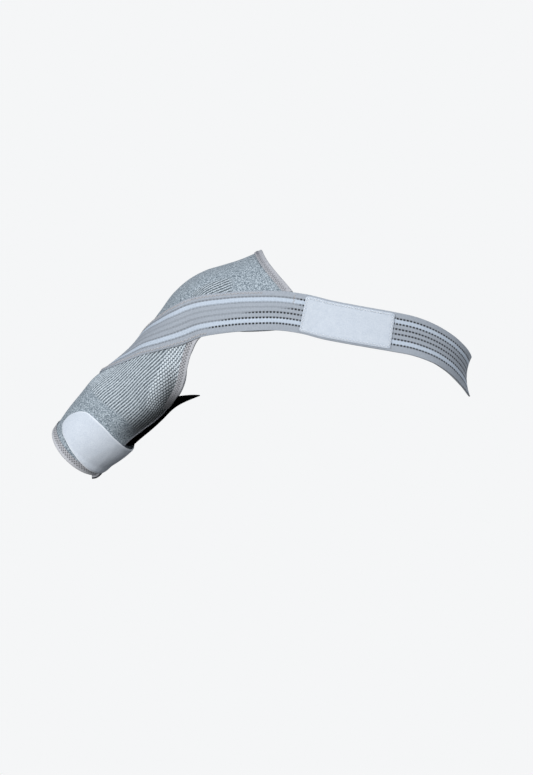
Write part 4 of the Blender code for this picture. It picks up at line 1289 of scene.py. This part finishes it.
def pale_floor(scene):
    """A plain pale floor under the brace, a little lit by itself so that it fades into the sky."""
    half, level = FLOOR_HALF, FLOOR_LEVEL
    corners = ((-half, -half, level), (half, -half, level), (half, half, level), (-half, half, level))
    mesh = bpy.data.meshes.new("floor")
    mesh.from_pydata(corners, [], [(0, 1, 2, 3)])
    material, _, shader = start_material("pale studio floor", 0.9)
    shader.inputs["Base Color"].default_value = linear(PALE)
    shader.inputs["Emission Color"].default_value = linear(PALE)
    shader.inputs["Emission Strength"].default_value = 0.4
    mesh.materials.append(material)
    floor = bpy.data.objects.new("floor", mesh)
    scene.collection.objects.link(floor)
    floor.visible_diffuse = False


def soft_sky(scene):
    """A pale backdrop that lights the brace as a room does: dark from below, light from above."""
    world = bpy.data.worlds.new("studio")
    world.use_nodes = True
    tree = world.node_tree
    seen = add(tree, "ShaderNodeLightPath").outputs["Is Camera Ray"]
    direction = add(tree, PLACE).outputs["Generated"]
    height = add(tree, "ShaderNodeSeparateXYZ", {"Vector": direction}).outputs["Z"]
    height = add(tree, MATH, {0: height, 1: 0.5, 2: 0.5}, operation="MULTIPLY_ADD").outputs[0]
    sky = add(tree, RAMP, {"Fac": height}, ((0.3, "#1d1f22"), (0.8, "#a9afb7"))).outputs["Color"]
    sky = add(tree, MIX, {0: seen, 6: sky, 7: linear(PALE)}, data_type="RGBA").outputs[2]
    tree.links.new(sky, tree.nodes["Background"].inputs["Color"])
    scene.world = world


def lamp(scene, name, place, aim, width, power):
    """Square soft light aimed at a point: turned by the yaw and the tilt of the line between them."""
    light = bpy.data.lights.new(name, "AREA")
    light.size = width
    light.energy = power
    piece = bpy.data.objects.new(name, light)
    piece.location = place
    back = np.array(place) - np.array(aim)
    yaw = math.atan2(back[0], -back[1])
    tilt = math.atan2(math.hypot(back[0], back[1]), back[2])
    piece.rotation_euler = (tilt, 0.0, yaw)
    scene.collection.objects.link(piece)


def level_camera(scene):
    """A level camera in front; its lens takes in the photograph's height at the distance of y = 0."""
    view = bpy.data.cameras.new("camera")
    view.sensor_width = SENSOR
    view.lens = SENSOR * -CAMERA_PLACE[1] / (PHOTO_HEIGHT * PHOTO_PIXEL)
    view.clip_end = 100.0
    camera = bpy.data.objects.new("camera", view)
    camera.location = CAMERA_PLACE
    camera.rotation_euler = (math.pi / 2.0, 0.0, 0.0)
    scene.collection.objects.link(camera)
    scene.camera = camera


studio = bpy.context.scene
studio.view_settings.view_transform = "Standard"
studio.view_settings.look = "None"
pale_floor(studio)
soft_sky(studio)
for row in LAMPS:
    lamp(studio, *row)
level_camera(studio)
